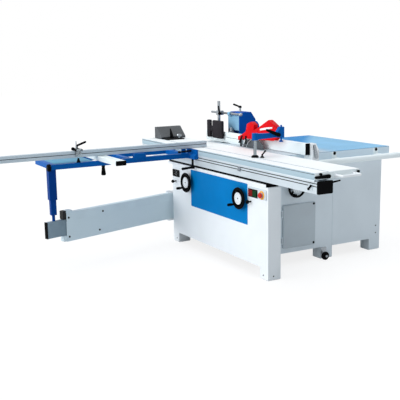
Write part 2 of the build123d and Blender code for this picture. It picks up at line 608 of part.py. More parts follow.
def trunnion_seat(side):
    """Hanging block whose curved groove guides one trunnion ring."""
    inner = BLADE_X + side * (TRUNNION_HALF + SLIDE_GAP)
    groove = BLADE_X + side * (TRUNNION_HALF + RING_T + SLIDE_GAP)
    outer = BLADE_X + side * (TRUNNION_HALF + 2 * RING_T)
    seat = block(min(inner, outer), max(inner, outer), BLADE_Y - 35, BLADE_Y + 35,
                 TABLE_Z - RING_R1 - 8, TABLE_Z - TABLE_WALL)
    x0, x1 = min(inner, groove), max(inner, groove)
    ring = tilt_cylinder(x0, x1, RING_R1 + SLIDE_GAP) - tilt_cylinder(x0, x1, RING_R0 - SLIDE_GAP)
    return seat - ring


def main_table():
    """Cast main table with the spindle sleeve, saw opening and trunnion seats."""
    table = ribbed_table(MAIN_X0, MAIN_X1, MAIN_Y0, MAIN_Y1, RIB_COLUMNS, RIB_ROWS)
    deck = TABLE_Z - TABLE_WALL
    bore = QUILL_R + SLIDE_GAP
    sleeve = [(bore, SLEEVE_Z), (bore + QUILL_WALL, SLEEVE_Z), (bore + QUILL_WALL, BODY_TOP - 35),
              (SPINDLE_HOLE_R + TABLE_WALL, BODY_TOP - 15), (SPINDLE_HOLE_R + TABLE_WALL, deck + 1),
              (bore, deck + 1)]
    table += turned(sleeve, (SPINDLE_X, SPINDLE_Y, 0), (0, 0, 1))
    table -= rod((SPINDLE_X, SPINDLE_Y, BODY_TOP - 5), (SPINDLE_X, SPINDLE_Y, TABLE_Z + 1),
                 SPINDLE_HOLE_R)
    for side in (-1, 1):
        table += trunnion_seat(side)
    table -= block(SAW_HOLE_X0, SAW_HOLE_X1, SAW_HOLE_Y0, SAW_HOLE_Y1, BODY_TOP - 1, TABLE_Z + 1)
    table -= block(SAW_HOLE_X0 - INSERT_LIP, SAW_HOLE_X1 + INSERT_LIP, SAW_HOLE_Y0 - INSERT_LIP,
                   SAW_HOLE_Y1 + INSERT_LIP, TABLE_Z - INSERT_T, TABLE_Z + 1)
    table -= block(BLADE_X - 60, BLADE_X + 60, MAIN_Y0 - 1, SAW_HOLE_Y0 + 1, BODY_TOP - 1,
                   BODY_TOP + 14)
    return table


def table_insert():
    """Thin plate round the blade, slotted for the tilt."""
    plate = soft_block(SAW_HOLE_X0 - INSERT_LIP, SAW_HOLE_X1 + INSERT_LIP,
                       SAW_HOLE_Y0 - INSERT_LIP, SAW_HOLE_Y1 + INSERT_LIP,
                       TABLE_Z - INSERT_T, TABLE_Z, 4.0, Axis.Z)
    return plate - block(BLADE_X - 232, BLADE_X + BLADE_R + 6, BLADE_Y - 7, BLADE_Y + 13,
                         TABLE_Z - INSERT_T - 1, TABLE_Z + 1)


keep("slide_beam", slide_beam())
keep("beam_end_caps", *beam_end_caps())
keep("sliding_table", sliding_table())
keep("main_table", main_table())
keep("extension_table", ribbed_table(MAIN_X1 - EXT_LEN, MAIN_X1, EXT_Y0, EXT_Y1, RIB_COLUMNS, RIB_ROWS))
keep("table_insert", table_insert())


# Saw unit

PLATE_Y0, PLATE_T = BLADE_Y - 98.0, 15.0
PLATE_Y1 = PLATE_Y0 + PLATE_T
HOUSING_R, ARBOR_R = 24.0, 12.0
ARBOR_Y0, ARBOR_Y1 = BLADE_Y - 260.0, BLADE_Y + 20.0
PULLEY_Y, PULLEY_W = ARBOR_Y0 + 2.0, 22.0
ARBOR_PULLEY_R, MOTOR_PULLEY_R = 22.0, 30.0
BELT_T = 5.0
MOTOR_R, MOTOR_DROP = 65.0, 232.0
MOTOR_Z = ARBOR_Z - MOTOR_DROP
GUIDE_R, GUIDE_OFF, GUIDE_Y = 12.0, 130.0, BLADE_Y - 60.0
GUIDE_Z0, GUIDE_Z1, GUIDE_LUG = TABLE_Z - 385.0, TABLE_Z - 207.0, 18.0
GUIDE_SLEEVE_Z, GUIDE_SLEEVE_H = TABLE_Z - 267.0, 40.0
STRAP_X, STRAP_W, STRAP_T = BLADE_X - 228.0, 20.0, 6.0
STRAP_Z, STRAP_TOP = TABLE_Z - 155.0, TABLE_Z + 83.0
GUARD_PIN = (STRAP_X + STRAP_W / 2, STRAP_TOP - 16.0)
GUARD_PIN_R = 5.0
KNIFE_R0, KNIFE_R1, KNIFE_TOP = 163.0, 198.0, TABLE_Z + 67.0
FLANGE_R, FLANGE_T = 30.0, 6.0
CARRIAGE_TOP = BODY_TOP - 5.0
# Guard outline from the blade centre and the table top, without its lower edge
GUARD_WALL, GUARD_ROUND = 3.0, 5.0
GUARD_BACK, GUARD_FRONT = 245.0, 346.0
GUARD_OUTLINE = ((-GUARD_BACK, 100.0), (-145.0, 209.0), (-22.0, 215.0), (-8.0, 147.0), (25.0, 155.0),
                 (196.0, 245.0), (GUARD_FRONT, 110.0))


def tilt_ring(x0, x1, first, last):
    """Ring segment round the tilt axis between two angles from straight down."""
    ring = tilt_cylinder(x0, x1, RING_R1) - tilt_cylinder(x0, x1, RING_R0)
    reach = 2 * RING_R1
    fan = [(BLADE_Y, TABLE_Z)]
    for angle in (first, (first + last) / 2, last):
        turn = math.radians(angle)
        fan.append((BLADE_Y + reach * math.sin(turn), TABLE_Z - reach * math.cos(turn)))
    return ring & prism_x(fan, x0, x1)


def saw_trunnion():
    """Tilting cradle: two rings, side plates, guide rods and the guard strap."""
    cradle = block(BLADE_X - TRUNNION_HALF, BLADE_X + TRUNNION_HALF, GUIDE_Y - 15, GUIDE_Y + 15,
                   GUIDE_Z0, GUIDE_Z0 + GUIDE_LUG)
    y0, y1 = BLADE_Y - 110, BLADE_Y - 20
    outline = [(y0, GUIDE_Z0), (y1 - 15, GUIDE_Z0), (y1, STRAP_Z - 20), (y1, STRAP_Z + 40),
               (y1 - 50, STRAP_Z + 60), (y0, STRAP_Z)]
    for side in (-1, 1):
        face = BLADE_X + side * TRUNNION_HALF
        inner, outer = face - side * RING_T, face + side * RING_T
        cradle += prism_x(outline, min(face, inner), max(face, inner))
        ring_x0, ring_x1 = min(face, outer), max(face, outer)
        cradle += tilt_ring(ring_x0, ring_x1, -60, 15)
        foot = tilt_ring(min(face, inner), max(face, inner), -40, -2)
        cradle += foot
        x = BLADE_X + side * GUIDE_OFF
        cradle += rod((x, GUIDE_Y, GUIDE_Z0), (x, GUIDE_Y, GUIDE_Z1), GUIDE_R)
        x_in = x - side * GUIDE_R
        cradle += block(min(face, x_in), max(face, x_in), GUIDE_Y - 12, GUIDE_Y + 12,
                        GUIDE_Z1 - GUIDE_LUG, GUIDE_Z1)
    cradle += block(BLADE_X - TRUNNION_HALF, STRAP_X + STRAP_W, y1 - 10, BLADE_Y + STRAP_T / 2,
                    STRAP_Z, STRAP_Z + 40)
    strap = block(STRAP_X, STRAP_X + STRAP_W, BLADE_Y - STRAP_T / 2, BLADE_Y + STRAP_T / 2,
                  STRAP_Z, STRAP_TOP)
    strap -= guard_pin(GUARD_PIN_R + RUN_FIT)
    return cradle + strap


def guard_pin(radius):
    """Pin across the guard, also the cutter of its hole."""
    half = GUARD_W / 2
    return rod((GUARD_PIN[0], BLADE_Y - half, GUARD_PIN[1]),
               (GUARD_PIN[0], BLADE_Y + half, GUARD_PIN[1]), radius)


def saw_carriage():
    """Rising plate with guide sleeves, arbor housing and knife arm."""
    plate = block(BLADE_X - GUIDE_OFF - 25, BLADE_X + GUIDE_OFF + 25, PLATE_Y0, PLATE_Y1,
                  GUIDE_SLEEVE_Z - 8, GUIDE_SLEEVE_Z + GUIDE_SLEEVE_H + 12)
    plate += block(BLADE_X - 85, BLADE_X + 85, PLATE_Y0, PLATE_Y1, MOTOR_Z - 75, CARRIAGE_TOP)
    plate += block(STRAP_X + STRAP_W + 10, BLADE_X - 80, PLATE_Y0, PLATE_Y1, CARRIAGE_TOP - 75,
                   CARRIAGE_TOP)
    knife_face = BLADE_Y - KNIFE_T / 2
    plate += block(STRAP_X + STRAP_W + 10, STRAP_X + STRAP_W + 38, PLATE_Y0, knife_face,
                   CARRIAGE_TOP - 45, CARRIAGE_TOP)
    plate += rod((BLADE_X, ARBOR_Y0 + 30, ARBOR_Z), (BLADE_X, BLADE_Y - 15, ARBOR_Z), HOUSING_R)
    for side in (-1, 1):
        x = BLADE_X + side * GUIDE_OFF
        z0, z1 = GUIDE_SLEEVE_Z, GUIDE_SLEEVE_Z + GUIDE_SLEEVE_H
        plate += block(x - 16, x + 16, PLATE_Y0, GUIDE_Y, z0, z1)
        plate += rod((x, GUIDE_Y, z0), (x, GUIDE_Y, z1), GUIDE_R + 10)
        plate -= rod((x, GUIDE_Y, z0 - 1), (x, GUIDE_Y, z1 + 1), GUIDE_R + RUN_FIT)
    return plate - rod((BLADE_X, 0, ARBOR_Z), (BLADE_X, BLADE_Y, ARBOR_Z), ARBOR_R + RUN_FIT)


def saw_motor():
    """Finned motor with its pulley, bolted to the carriage."""
    body = rod((BLADE_X, PLATE_Y0, MOTOR_Z), (BLADE_X, PULLEY_Y + PULLEY_W + 10, MOTOR_Z), MOTOR_R)
    for i in range(8):
        fin = block(-2, 2, PULLEY_Y + PULLEY_W + 25, PLATE_Y0 - 20, MOTOR_R - 5, MOTOR_R + 8)
        body += Pos(BLADE_X, 0, MOTOR_Z) * Rot(0, 45.0 * i, 0) * fin
    body += rod((BLADE_X, PLATE_Y0, MOTOR_Z), (BLADE_X, PULLEY_Y - 4, MOTOR_Z), 10.0)
    return body + rod((BLADE_X, PULLEY_Y, MOTOR_Z), (BLADE_X, PULLEY_Y + PULLEY_W, MOTOR_Z),
                      MOTOR_PULLEY_R)


def saw_belt():
    """Flat belt round the arbor and motor pulleys."""
    arbor, motor = (BLADE_X, ARBOR_Z), (BLADE_X, MOTOR_Z)
    outer = link(arbor, ARBOR_PULLEY_R + BELT_T, motor, MOTOR_PULLEY_R + BELT_T)
    inner = link(arbor, ARBOR_PULLEY_R + SLIDE_GAP, motor, MOTOR_PULLEY_R + SLIDE_GAP)
    y0, y1 = PULLEY_Y + 2, PULLEY_Y + PULLEY_W - 2
    return slab_y(outer, y0, y1) - slab_y(inner, y0, y1)


def saw_arbor():
    """Arbor with its pulley, blade flanges and nut."""
    face = BLADE_Y - BLADE_T / 2
    back = BLADE_Y + BLADE_T / 2
    outline = [(0, ARBOR_Y0), (ARBOR_R, ARBOR_Y0), (ARBOR_R, PULLEY_Y), (ARBOR_PULLEY_R, PULLEY_Y),
               (ARBOR_PULLEY_R, PULLEY_Y + PULLEY_W), (ARBOR_R, PULLEY_Y + PULLEY_W),
               (ARBOR_R, face - FLANGE_T), (FLANGE_R, face - FLANGE_T), (FLANGE_R, face),
               (ARBOR_R, face), (ARBOR_R, back), (FLANGE_R, back), (FLANGE_R, back + FLANGE_T),
               (ARBOR_R + 3, back + FLANGE_T), (ARBOR_R + 3, ARBOR_Y1), (0, ARBOR_Y1)]
    return turned(outline, (BLADE_X, 0, ARBOR_Z), (0, 1, 0))


def saw_blade():
    """Toothed disc: each tooth has a steep face and a long back."""
    points = []
    for i in range(SAW_TEETH):
        for share, radius in ((0.0, BLADE_R), (0.62, BLADE_R - 4), (0.72, BLADE_R - 11)):
            turn = 2 * math.pi * (i + share) / SAW_TEETH
            points.append((radius * math.cos(turn), radius * math.sin(turn)))
    outline = make_face(Polyline(*points, close=True)) - Circle(ARBOR_R + RUN_FIT)
    disc = slab_y(outline, BLADE_Y - BLADE_T / 2, BLADE_Y + BLADE_T / 2)
    return Pos(BLADE_X, 0, ARBOR_Z) * disc


def riving_knife():
    """Curved plate close behind the blade."""
    y0, y1 = BLADE_Y - KNIFE_T / 2, BLADE_Y + KNIFE_T / 2
    ring = rod((BLADE_X, y0, ARBOR_Z), (BLADE_X, y1, ARBOR_Z), KNIFE_R1)
    ring -= rod((BLADE_X, y0, ARBOR_Z), (BLADE_X, y1, ARBOR_Z), KNIFE_R0)
    return ring & block(BLADE_X - KNIFE_R1, BLADE_X - 60, y0, y1, ARBOR_Z - 34, KNIFE_TOP)


def saw_guard():
    """Sheet hood over the blade, hinged on the strap behind it."""
    low = TABLE_Z + GUARD_LIFT
    half, wall = GUARD_W / 2, GUARD_WALL
    x0, x1 = BLADE_X - GUARD_BACK, BLADE_X + GUARD_FRONT
    outline = [(x0, low + 12)] + [(BLADE_X + x, TABLE_Z + z) for x, z in GUARD_OUTLINE]
    outline += [(x1, low + 25), (x1 - 24, low), (x0 + 15, low)]
    hood = prism_y(outline, BLADE_Y - half, BLADE_Y + half)
    hood = fillet(hood.edges().filter_by(Axis.Y), GUARD_ROUND)
    room = slab_y(inset(outline, wall), BLADE_Y - half + wall, BLADE_Y + half - wall)
    y0, y1 = BLADE_Y - half + wall, BLADE_Y + half - wall
    mouth = block(x0 - 5, x1 - 26, y0, y1, low - 1, low + 40)
    back = block(x0 - 5, STRAP_X + STRAP_W, y0, y1, low, STRAP_TOP + 10)
    return hood - room - mouth - back + guard_pin(GUARD_PIN_R)


keep("saw_trunnion", saw_trunnion())
keep("saw_carriage", saw_carriage())
keep("saw_motor", saw_motor())
keep("saw_belt", saw_belt())
keep("saw_arbor", saw_arbor())
keep("saw_blade", saw_blade())
keep("riving_knife", riving_knife())
keep("saw_guard", saw_guard())


# Moulder unit

HOOD_X0, HOOD_X1 = SPINDLE_X - 95.0, SPINDLE_X + 90.0
HOOD_Y0, HOOD_D, HOOD_TOP, HOOD_WALL = SPINDLE_Y + 25.0, 175.0, TABLE_Z + 265.0, 3.0
HOOD_MOUTH = 95.0
BASE_T = 12.0
BASE_X0, BASE_X1 = SPINDLE_X - 170.0, SPINDLE_X + 145.0
BASE_HOLE_R, FLANGE_H = 75.0, 45.0
BASE_TOP = TABLE_Z + BASE_T
SPIGOT_R, SPIGOT_L, SPIGOT_Z = 60.0, 60.0, TABLE_Z + 115.0
BOARD_LEN = 230.0
BOARD_Z = TABLE_Z + 2.0
BOARD_BACK = BOARD_Y + BOARD_T
PRESS_BAR_R, PRESS_BAR_Y, PRESS_BAR_Z = 10.0, HOOD_Y0 - 15.0, HOOD_TOP - 15.0
PRESS_BAR_X0, PRESS_BAR_X1 = SPINDLE_X - 350.0, SPINDLE_X + 140.0
PRESS_ROD_X, PRESS_ROD_W = SPINDLE_X - 200.0, 30.0
PRESS_ROD_Y, PRESS_ROD_T, PRESS_ROD_UP = PRESS_BAR_Y - 30.0, 12.0, 105.0
PRESS_LUG_X, PRESS_LUG_W = HOOD_X0 + 45.0, 32.0
PAD_Y, PAD_T, PAD_Z0, PAD_H = PRESS_ROD_Y - 75.0, 22.0, TABLE_Z + 35.0, 155.0
PAD_XS = ((PRESS_ROD_X + 30.0, PRESS_ROD_X + 195.0), (PRESS_ROD_X - 65.0, PRESS_ROD_X - 10.0))
QUILL_TOP, QUILL_Z = TABLE_Z - 67.0, TABLE_Z - 295.0
MOULDER_MOTOR_R, MOULDER_MOTOR_H = 80.0, 220.0
SHAFT_Z, SHAFT_TOP = QUILL_Z + 40.0, TABLE_Z + 130.0


def moulder_base():
    """Plate on the table with upright flanges that carry the boards."""
    base = soft_block(BASE_X0, BASE_X1, BOARD_BACK, HOOD_Y0 + HOOD_D + 15, TABLE_Z, BASE_TOP, 6.0, Axis.Z)
    x0, x1 = SPINDLE_X - BOARD_GAP / 2, SPINDLE_X + BOARD_GAP / 2
    top = BASE_TOP + FLANGE_H
    for a, b in ((BASE_X0, x0 - 5), (x1 + 5, BASE_X1)):
        base += block(a, b, BOARD_BACK, BOARD_BACK + 10, TABLE_Z, top)
    base -= rod((SPINDLE_X, SPINDLE_Y, TABLE_Z - 1), (SPINDLE_X, SPINDLE_Y, top + 1), BASE_HOLE_R)
    return base - block(x0, x1, BOARD_BACK - 1, SPINDLE_Y, TABLE_Z - 1, top + 1)


def moulder_boards():
    """Two fence boards with a gap for the cutter."""
    left = SPINDLE_X - BOARD_GAP / 2
    right = SPINDLE_X + BOARD_GAP / 2
    boards = []
    for x0 in (left - BOARD_LEN, right):
        board = block(x0, x0 + BOARD_LEN, BOARD_Y, BOARD_BACK, BOARD_Z, BOARD_Z + BOARD_H)
        boards.append(chamfer(board.edges().filter_by(Axis.Z), 3.0))
    return boards


def moulder_hood():
    """Folded dust hood with an open mouth, an outlet and the bar clamp."""
    y1 = HOOD_Y0 + HOOD_D
    outline = [(HOOD_Y0, BASE_TOP), (y1, BASE_TOP), (y1, HOOD_TOP - 70), (y1 - 50, HOOD_TOP),
               (HOOD_Y0 + 30, HOOD_TOP), (HOOD_Y0, HOOD_TOP - 30)]
    hood = prism_x(outline, HOOD_X0, HOOD_X1)
    hood = fillet(hood.edges().filter_by(Axis.Z), 6.0)
    hood -= slab_x(inset(outline, HOOD_WALL), HOOD_X0 + HOOD_WALL, HOOD_X1 - HOOD_WALL)
    hood -= block(HOOD_X0 + HOOD_WALL, HOOD_X1 - HOOD_WALL, HOOD_Y0 - 1, y1 - HOOD_WALL,
                  BASE_TOP - 1, BASE_TOP + HOOD_MOUTH)
    middle = (HOOD_X0 + HOOD_X1) / 2
    hood += rod((middle, y1, SPIGOT_Z), (middle, y1 + SPIGOT_L, SPIGOT_Z), SPIGOT_R)
    hood -= rod((middle, y1 - 10, SPIGOT_Z), (middle, y1 + SPIGOT_L + 1, SPIGOT_Z),
                SPIGOT_R - HOOD_WALL)
    x0, x1 = PRESS_LUG_X, PRESS_LUG_X + PRESS_LUG_W
    lug = block(x0, x1, PRESS_BAR_Y - 18, HOOD_Y0 + 31, PRESS_BAR_Z - 20, HOOD_TOP)
    lug = fillet(lug.edges().filter_by(Axis.X).group_by(Axis.Y)[0], 14.0)
    hood += lug
    return hood - rod((x0 - 1, PRESS_BAR_Y, PRESS_BAR_Z), (x1 + 1, PRESS_BAR_Y, PRESS_BAR_Z),
                      PRESS_BAR_R + SLIDE_GAP)


def pressure_bar():
    """Round bar with an end knob and the clamp of the upright rod."""
    bar = rod((PRESS_BAR_X0, PRESS_BAR_Y, PRESS_BAR_Z), (PRESS_BAR_X1, PRESS_BAR_Y, PRESS_BAR_Z),
              PRESS_BAR_R)
    bar += Pos(PRESS_BAR_X1, PRESS_BAR_Y, PRESS_BAR_Z) * Sphere(PRESS_BAR_R * 1.6)
    clamp = soft_block(PRESS_ROD_X - 10, PRESS_ROD_X + PRESS_ROD_W + 10, PRESS_ROD_Y - 8,
                       PRESS_BAR_Y + 11, PRESS_BAR_Z - 20, PRESS_BAR_Z + 20, 6.0, Axis.Y)
    hole = block(PRESS_ROD_X - SLIDE_GAP, PRESS_ROD_X + PRESS_ROD_W + SLIDE_GAP,
                 PRESS_ROD_Y - SLIDE_GAP, PRESS_ROD_Y + PRESS_ROD_T + SLIDE_GAP,
                 PRESS_BAR_Z - 30, PRESS_BAR_Z + 30)
    return bar + (clamp - hole)


def pressure_shoe():
    """Upright flat rod with its arm and the two pressure pads."""
    x0, x1 = PRESS_ROD_X, PRESS_ROD_X + PRESS_ROD_W
    shoe = block(x0, x1, PRESS_ROD_Y, PRESS_ROD_Y + PRESS_ROD_T, PAD_Z0 + 40, PRESS_BAR_Z + PRESS_ROD_UP)
    shoe += block(x0, x1, PAD_Y, PRESS_ROD_Y + PRESS_ROD_T, PAD_Z0 + 60, PAD_Z0 + 82)
    shoe += block(x0 - 50, x1 + 20, PAD_Y + 6, PAD_Y + 16, PAD_Z0 + 85, PAD_Z0 + 105)
    shoe += block(x0, x1, PAD_Y + 6, PAD_Y + 16, PAD_Z0 + 70, PAD_Z0 + 105)
    for a, b in PAD_XS:
        pad = block(a, b, PAD_Y, PAD_Y + PAD_T, PAD_Z0, PAD_Z0 + PAD_H)
        pad = fillet(pad.edges().filter_by(Axis.Y), 12.0)
        shoe += chamfer(pad.faces().sort_by(Axis.Y)[0].edges(), 4.0)
    return shoe


def spindle_quill():
    """Rising quill with its flanged motor underneath."""
    bore = SPINDLE_R + RUN_FIT
    motor_z = QUILL_Z - 20 - MOULDER_MOTOR_H
    outline = [(0, motor_z), (MOULDER_MOTOR_R - 10, motor_z), (MOULDER_MOTOR_R, motor_z + 10),
               (MOULDER_MOTOR_R, QUILL_Z - 20), (MOULDER_MOTOR_R + 6, QUILL_Z - 20),
               (MOULDER_MOTOR_R + 6, QUILL_Z), (QUILL_R, QUILL_Z), (QUILL_R, QUILL_TOP),
               (bore, QUILL_TOP), (bore, SHAFT_Z - 2), (0, SHAFT_Z - 2)]
    return turned(outline, (SPINDLE_X, SPINDLE_Y, 0), (0, 0, 1))


def spindle_shaft():
    """Spindle with its shoulder, cutter block, spacers and nut."""
    low = TABLE_Z + 13
    high = low + CUTTER_H
    outline = [(0, SHAFT_Z), (SPINDLE_R, SHAFT_Z), (SPINDLE_R, QUILL_TOP + 1), (24, QUILL_TOP + 1),
               (24, low), (CUTTER_R, low), (CUTTER_R, high), (22, high), (22, high + 50),
               (18, high + 50), (18, high + 62), (SPINDLE_R, high + 62), (SPINDLE_R, SHAFT_TOP - 3),
               (SPINDLE_R - 3, SHAFT_TOP), (0, SHAFT_TOP)]
    shaft = turned(outline, (0, 0, 0), (0, 0, 1))
    for i in range(4):
        gullet = block(CUTTER_R - 14, CUTTER_R + 2, 0, 16, low - 1, high + 1)
        shaft -= Rot(0, 0, 90.0 * i) * gullet
    return Pos(SPINDLE_X, SPINDLE_Y, 0) * shaft


keep("moulder_base", moulder_base())
keep("moulder_boards", *moulder_boards())
keep("moulder_hood", moulder_hood())
keep("pressure_bar", pressure_bar())
keep("pressure_shoe", pressure_shoe())
keep("spindle_quill", spindle_quill())
keep("spindle_shaft", spindle_shaft())


# Pieces on the sliding table

CLAMP_X, CLAMP_R, CLAMP_TOP = SLIDER_X1 - 858.0, 12.0, TABLE_Z + 175.0
CLAMP_REACH = 245.0
CLAMP_ARM_Z, CLAMP_ARM_H, CLAMP_ARM_HALF = TABLE_Z + 133.0, 44.0, 17.0
CLAMP_LEVER_AT = (CLAMP_SLOT_Y + 200.0, CLAMP_ARM_Z + 24.0)
LEVER_PIN_R = 5.0
LOCK_AT = (CLAMP_SLOT_Y, SLIDER_Z + 19.0)
LOCK_PIN_R = 6.0
HANDLE_R, HANDLE_OUT = 9.0, 70.0


def push_handle():
    """Round U-shaped handle on the near end of the table."""
    z = TABLE_Z - SLIDER_T / 2 - 4
    y0, y1 = CLAMP_SLOT_Y + 60, SLIDER_Y1 - 50
    x1 = SLIDER_X1 + HANDLE_OUT
    handle = rod((x1, y0, z), (x1, y1, z), HANDLE_R)
    for y in (y0, y1):
        handle += rod((SLIDER_X1, y, z), (x1, y, z), HANDLE_R) + Pos(x1, y, z) * Sphere(HANDLE_R)
        handle += rod((SLIDER_X1, y, z), (SLIDER_X1 + 6, y, z), HANDLE_R + 7)
    return handle


def lock_pin_hole(radius, x0, x1):
    """Pin of the table lock along X, also the cutter of its hole."""
    return rod((x0, *LOCK_AT), (x1, *LOCK_AT), radius)


def table_lock_lever():
    """Flat lever with a round hub, turning on a pin in the table end."""
    tip = (LOCK_AT[0] - 105, LOCK_AT[1])
    blade = slab_x(link(LOCK_AT, 13.0, tip, 8.0), SLIDER_X1 + 1, SLIDER_X1 + 11)
    return blade + lock_pin_hole(LOCK_PIN_R, SLIDER_X1 - 20, SLIDER_X1 + 16)


def clamp_column():
    """Chromed column on a foot with its nut in the table slot."""
    outline = [(0, TABLE_Z - SLOT_LIP - 1), (5, TABLE_Z - SLOT_LIP - 1), (5, TABLE_Z), (26, TABLE_Z),
               (26, TABLE_Z + 8), (18, TABLE_Z + 16), (CLAMP_R, TABLE_Z + 18),
               (CLAMP_R, CLAMP_TOP - 2), (CLAMP_R - 2, CLAMP_TOP), (0, CLAMP_TOP)]
    column = turned(outline, (CLAMP_X, CLAMP_SLOT_Y, 0), (0, 0, 1))
    nut_half = SLOT_HEAD_W / 2 - SLIDE_GAP
    return column + block(CLAMP_X - 16, CLAMP_X + 16, CLAMP_SLOT_Y - nut_half,
                          CLAMP_SLOT_Y + nut_half, TABLE_Z - SLOT_LIP - SLOT_HEAD_H + 1,
                          TABLE_Z - SLOT_LIP - SLIDE_GAP)


def clamp_arm():
    """Cast arm on the column with its pressure screw and pad."""
    y0, y1 = CLAMP_SLOT_Y, CLAMP_SLOT_Y + CLAMP_REACH
    z0, z1 = CLAMP_ARM_Z, CLAMP_ARM_Z + CLAMP_ARM_H
    outline = [(y0, z0), (y1 - 60, z0 + 6), (y1 - 25, z0), (y1 + 10, z0), (y1 + 10, z1 + 38),
               (y1 - 25, z1 + 38), (y1 - 55, z1 - 4), (y0, z1)]
    arm = prism_x(outline, CLAMP_X - CLAMP_ARM_HALF, CLAMP_X + CLAMP_ARM_HALF)
    arm += rod((CLAMP_X, y0, z0 - 4), (CLAMP_X, y0, z1 + 4), CLAMP_R + 11)
    arm -= rod((CLAMP_X, y0, z0 - 5), (CLAMP_X, y0, z1 + 5), CLAMP_R + SLIDE_GAP)
    screw = y1 - 8
    arm += rod((CLAMP_X, screw, z0 - 28), (CLAMP_X, screw, z1 + 52), 7.0)
    arm += rod((CLAMP_X, screw, z0 - 32), (CLAMP_X, screw, z0 - 22), 15.0)
    return arm - rod((CLAMP_X - 1, *CLAMP_LEVER_AT), (CLAMP_X + 40, *CLAMP_LEVER_AT),
                     LEVER_PIN_R + RUN_FIT)


def clamp_lever():
    """Cam lever on the side of the clamp arm."""
    tip = (CLAMP_LEVER_AT[0] - 105, CLAMP_LEVER_AT[1] + 42)
    x0 = CLAMP_X + CLAMP_ARM_HALF + SLIDE_GAP
    lever = slab_x(link(CLAMP_LEVER_AT, 14.0, tip, 9.0), x0, x0 + 12)
    return lever + rod((CLAMP_X, *CLAMP_LEVER_AT), (x0 + 1, *CLAMP_LEVER_AT), LEVER_PIN_R)


def edge_shoe():
    """Bent plate with an inclined face at the far end of the table."""
    x0, x1 = SLIDER_X0 + 37, SLIDER_X0 + 173
    wall = 5.0
    outline = [(x0, TABLE_Z), (x1, TABLE_Z), (x1, TABLE_Z + 18), (x0 + 38, TABLE_Z + 105),
               (x0, TABLE_Z + 105)]
    shoe = prism_y(outline, CLAMP_SLOT_Y + 3, SLIDER_Y1 - 2)
    return shoe - slab_y(inset(outline, wall), CLAMP_SLOT_Y + 3 + wall, SLIDER_Y1)


keep("push_handle", push_handle())
NODES["sliding_table"] -= lock_pin_hole(LOCK_PIN_R + RUN_FIT, SLIDER_X1 - 22, SLIDER_X1 + 1)
keep("table_lock_lever", table_lock_lever())
keep("clamp_column", clamp_column())
keep("clamp_arm", clamp_arm())
keep("clamp_lever", clamp_lever())
keep("edge_shoe", edge_shoe())


# Outrigger and crosscut fence

TUBE_Z = OUT_TOP - TUBE_H
OUT_Y1 = Y_FRONT - 40.0
OUT_FAR_X = OUT_NEAR_X - OUT_DEPTH
CROSS_TUBE_Y = OUT_Y0 + 630.0
SHEET_Y0, SHEET_Y1 = OUT_Y0 + TUBE, BAR_Y - BAR_W / 2 - 20
FENCE_X1 = OUT_NEAR_X - FENCE_IN
FENCE_X = FENCE_X1 - FENCE_T / 2
FENCE_Z = TABLE_Z + FENCE_LIFT
FENCE_PIVOT_Y = OUT_Y1 - TUBE / 2
FENCE_PIN_R, FENCE_BOSS_R = 8.0, 19.0
FENCE_INNER_Y = Y_FRONT + FENCE_OVERLAP
FENCE_Y0 = FENCE_INNER_Y - FENCE_LEN
BAR_KNOB_AT = (OUT_NEAR_X - TUBE / 2, BAR_Y)
BAR_STEM_R = 5.0
STOP_Y, STOP_W, STOP_WALL = OUT_Y0 + 230.0, 40.0, 8.0
STOP_TOP = FENCE_Z + FENCE_H + 16.0
FLAP_PIN_R, FLAP_R, FLAP_T = 4.0, 8.0, 4.0
FLAP_X, FLAP_Z = FENCE_X1 + STOP_WALL + 11.0, STOP_TOP - 8.0
POST_W, POST_Z, POST_INNER_W = 60.0, TUBE_Z - 244.0, 45.0


def outrigger_frame():
    """Welded tube frame with its sheet, hooking brackets and fence boss."""
    tubes = [(OUT_NEAR_X - TUBE, OUT_NEAR_X, OUT_Y0, OUT_Y1),
             (OUT_FAR_X, OUT_FAR_X + TUBE, OUT_Y0, OUT_Y1)]
    tubes += [(OUT_FAR_X, OUT_NEAR_X, y, y + TUBE)
              for y in (OUT_Y0, CROSS_TUBE_Y, OUT_Y1 - TUBE)]
    frame = block(*tubes[0], TUBE_Z, OUT_TOP)
    for tube in tubes[1:]:
        frame += block(*tube, TUBE_Z, OUT_TOP)
    for x0, x1, y0, y1 in tubes:
        frame -= block(x0 + TUBE_WALL, x1 - TUBE_WALL, y0 + TUBE_WALL, y1 - TUBE_WALL,
                       TUBE_Z + TUBE_WALL, OUT_TOP - TUBE_WALL)
    frame += block(OUT_FAR_X + TUBE - 1, OUT_NEAR_X - TUBE + 1, SHEET_Y0 - 1, SHEET_Y1,
                   OUT_TOP - 7, OUT_TOP - 4)
    hook = [(Y_FRONT, TUBE_Z - 5), (Y_FRONT, TABLE_Z - 2), (Y_FRONT - 12, TABLE_Z - 2),
            (Y_FRONT - 12, OUT_TOP), (OUT_Y1, TUBE_Z + 20), (OUT_Y1, TUBE_Z - 5)]
    for x0, x1 in ((OUT_NEAR_X - 93, OUT_NEAR_X + 83), (OUT_FAR_X, OUT_FAR_X + 2 * TUBE)):
        frame += prism_x(hook, x0, x1)
    frame += rod((FENCE_X, FENCE_PIVOT_Y, TUBE_Z), (FENCE_X, FENCE_PIVOT_Y, FENCE_Z - SLIDE_GAP),
                 FENCE_BOSS_R)
    frame -= rod((FENCE_X, FENCE_PIVOT_Y, TUBE_Z - 1), (FENCE_X, FENCE_PIVOT_Y, FENCE_Z),
                 FENCE_PIN_R + RUN_FIT)
    stem = (*BAR_KNOB_AT, TUBE_Z - 1), (*BAR_KNOB_AT, OUT_TOP + 1)
    return frame - rod(*stem, BAR_STEM_R + RUN_FIT)


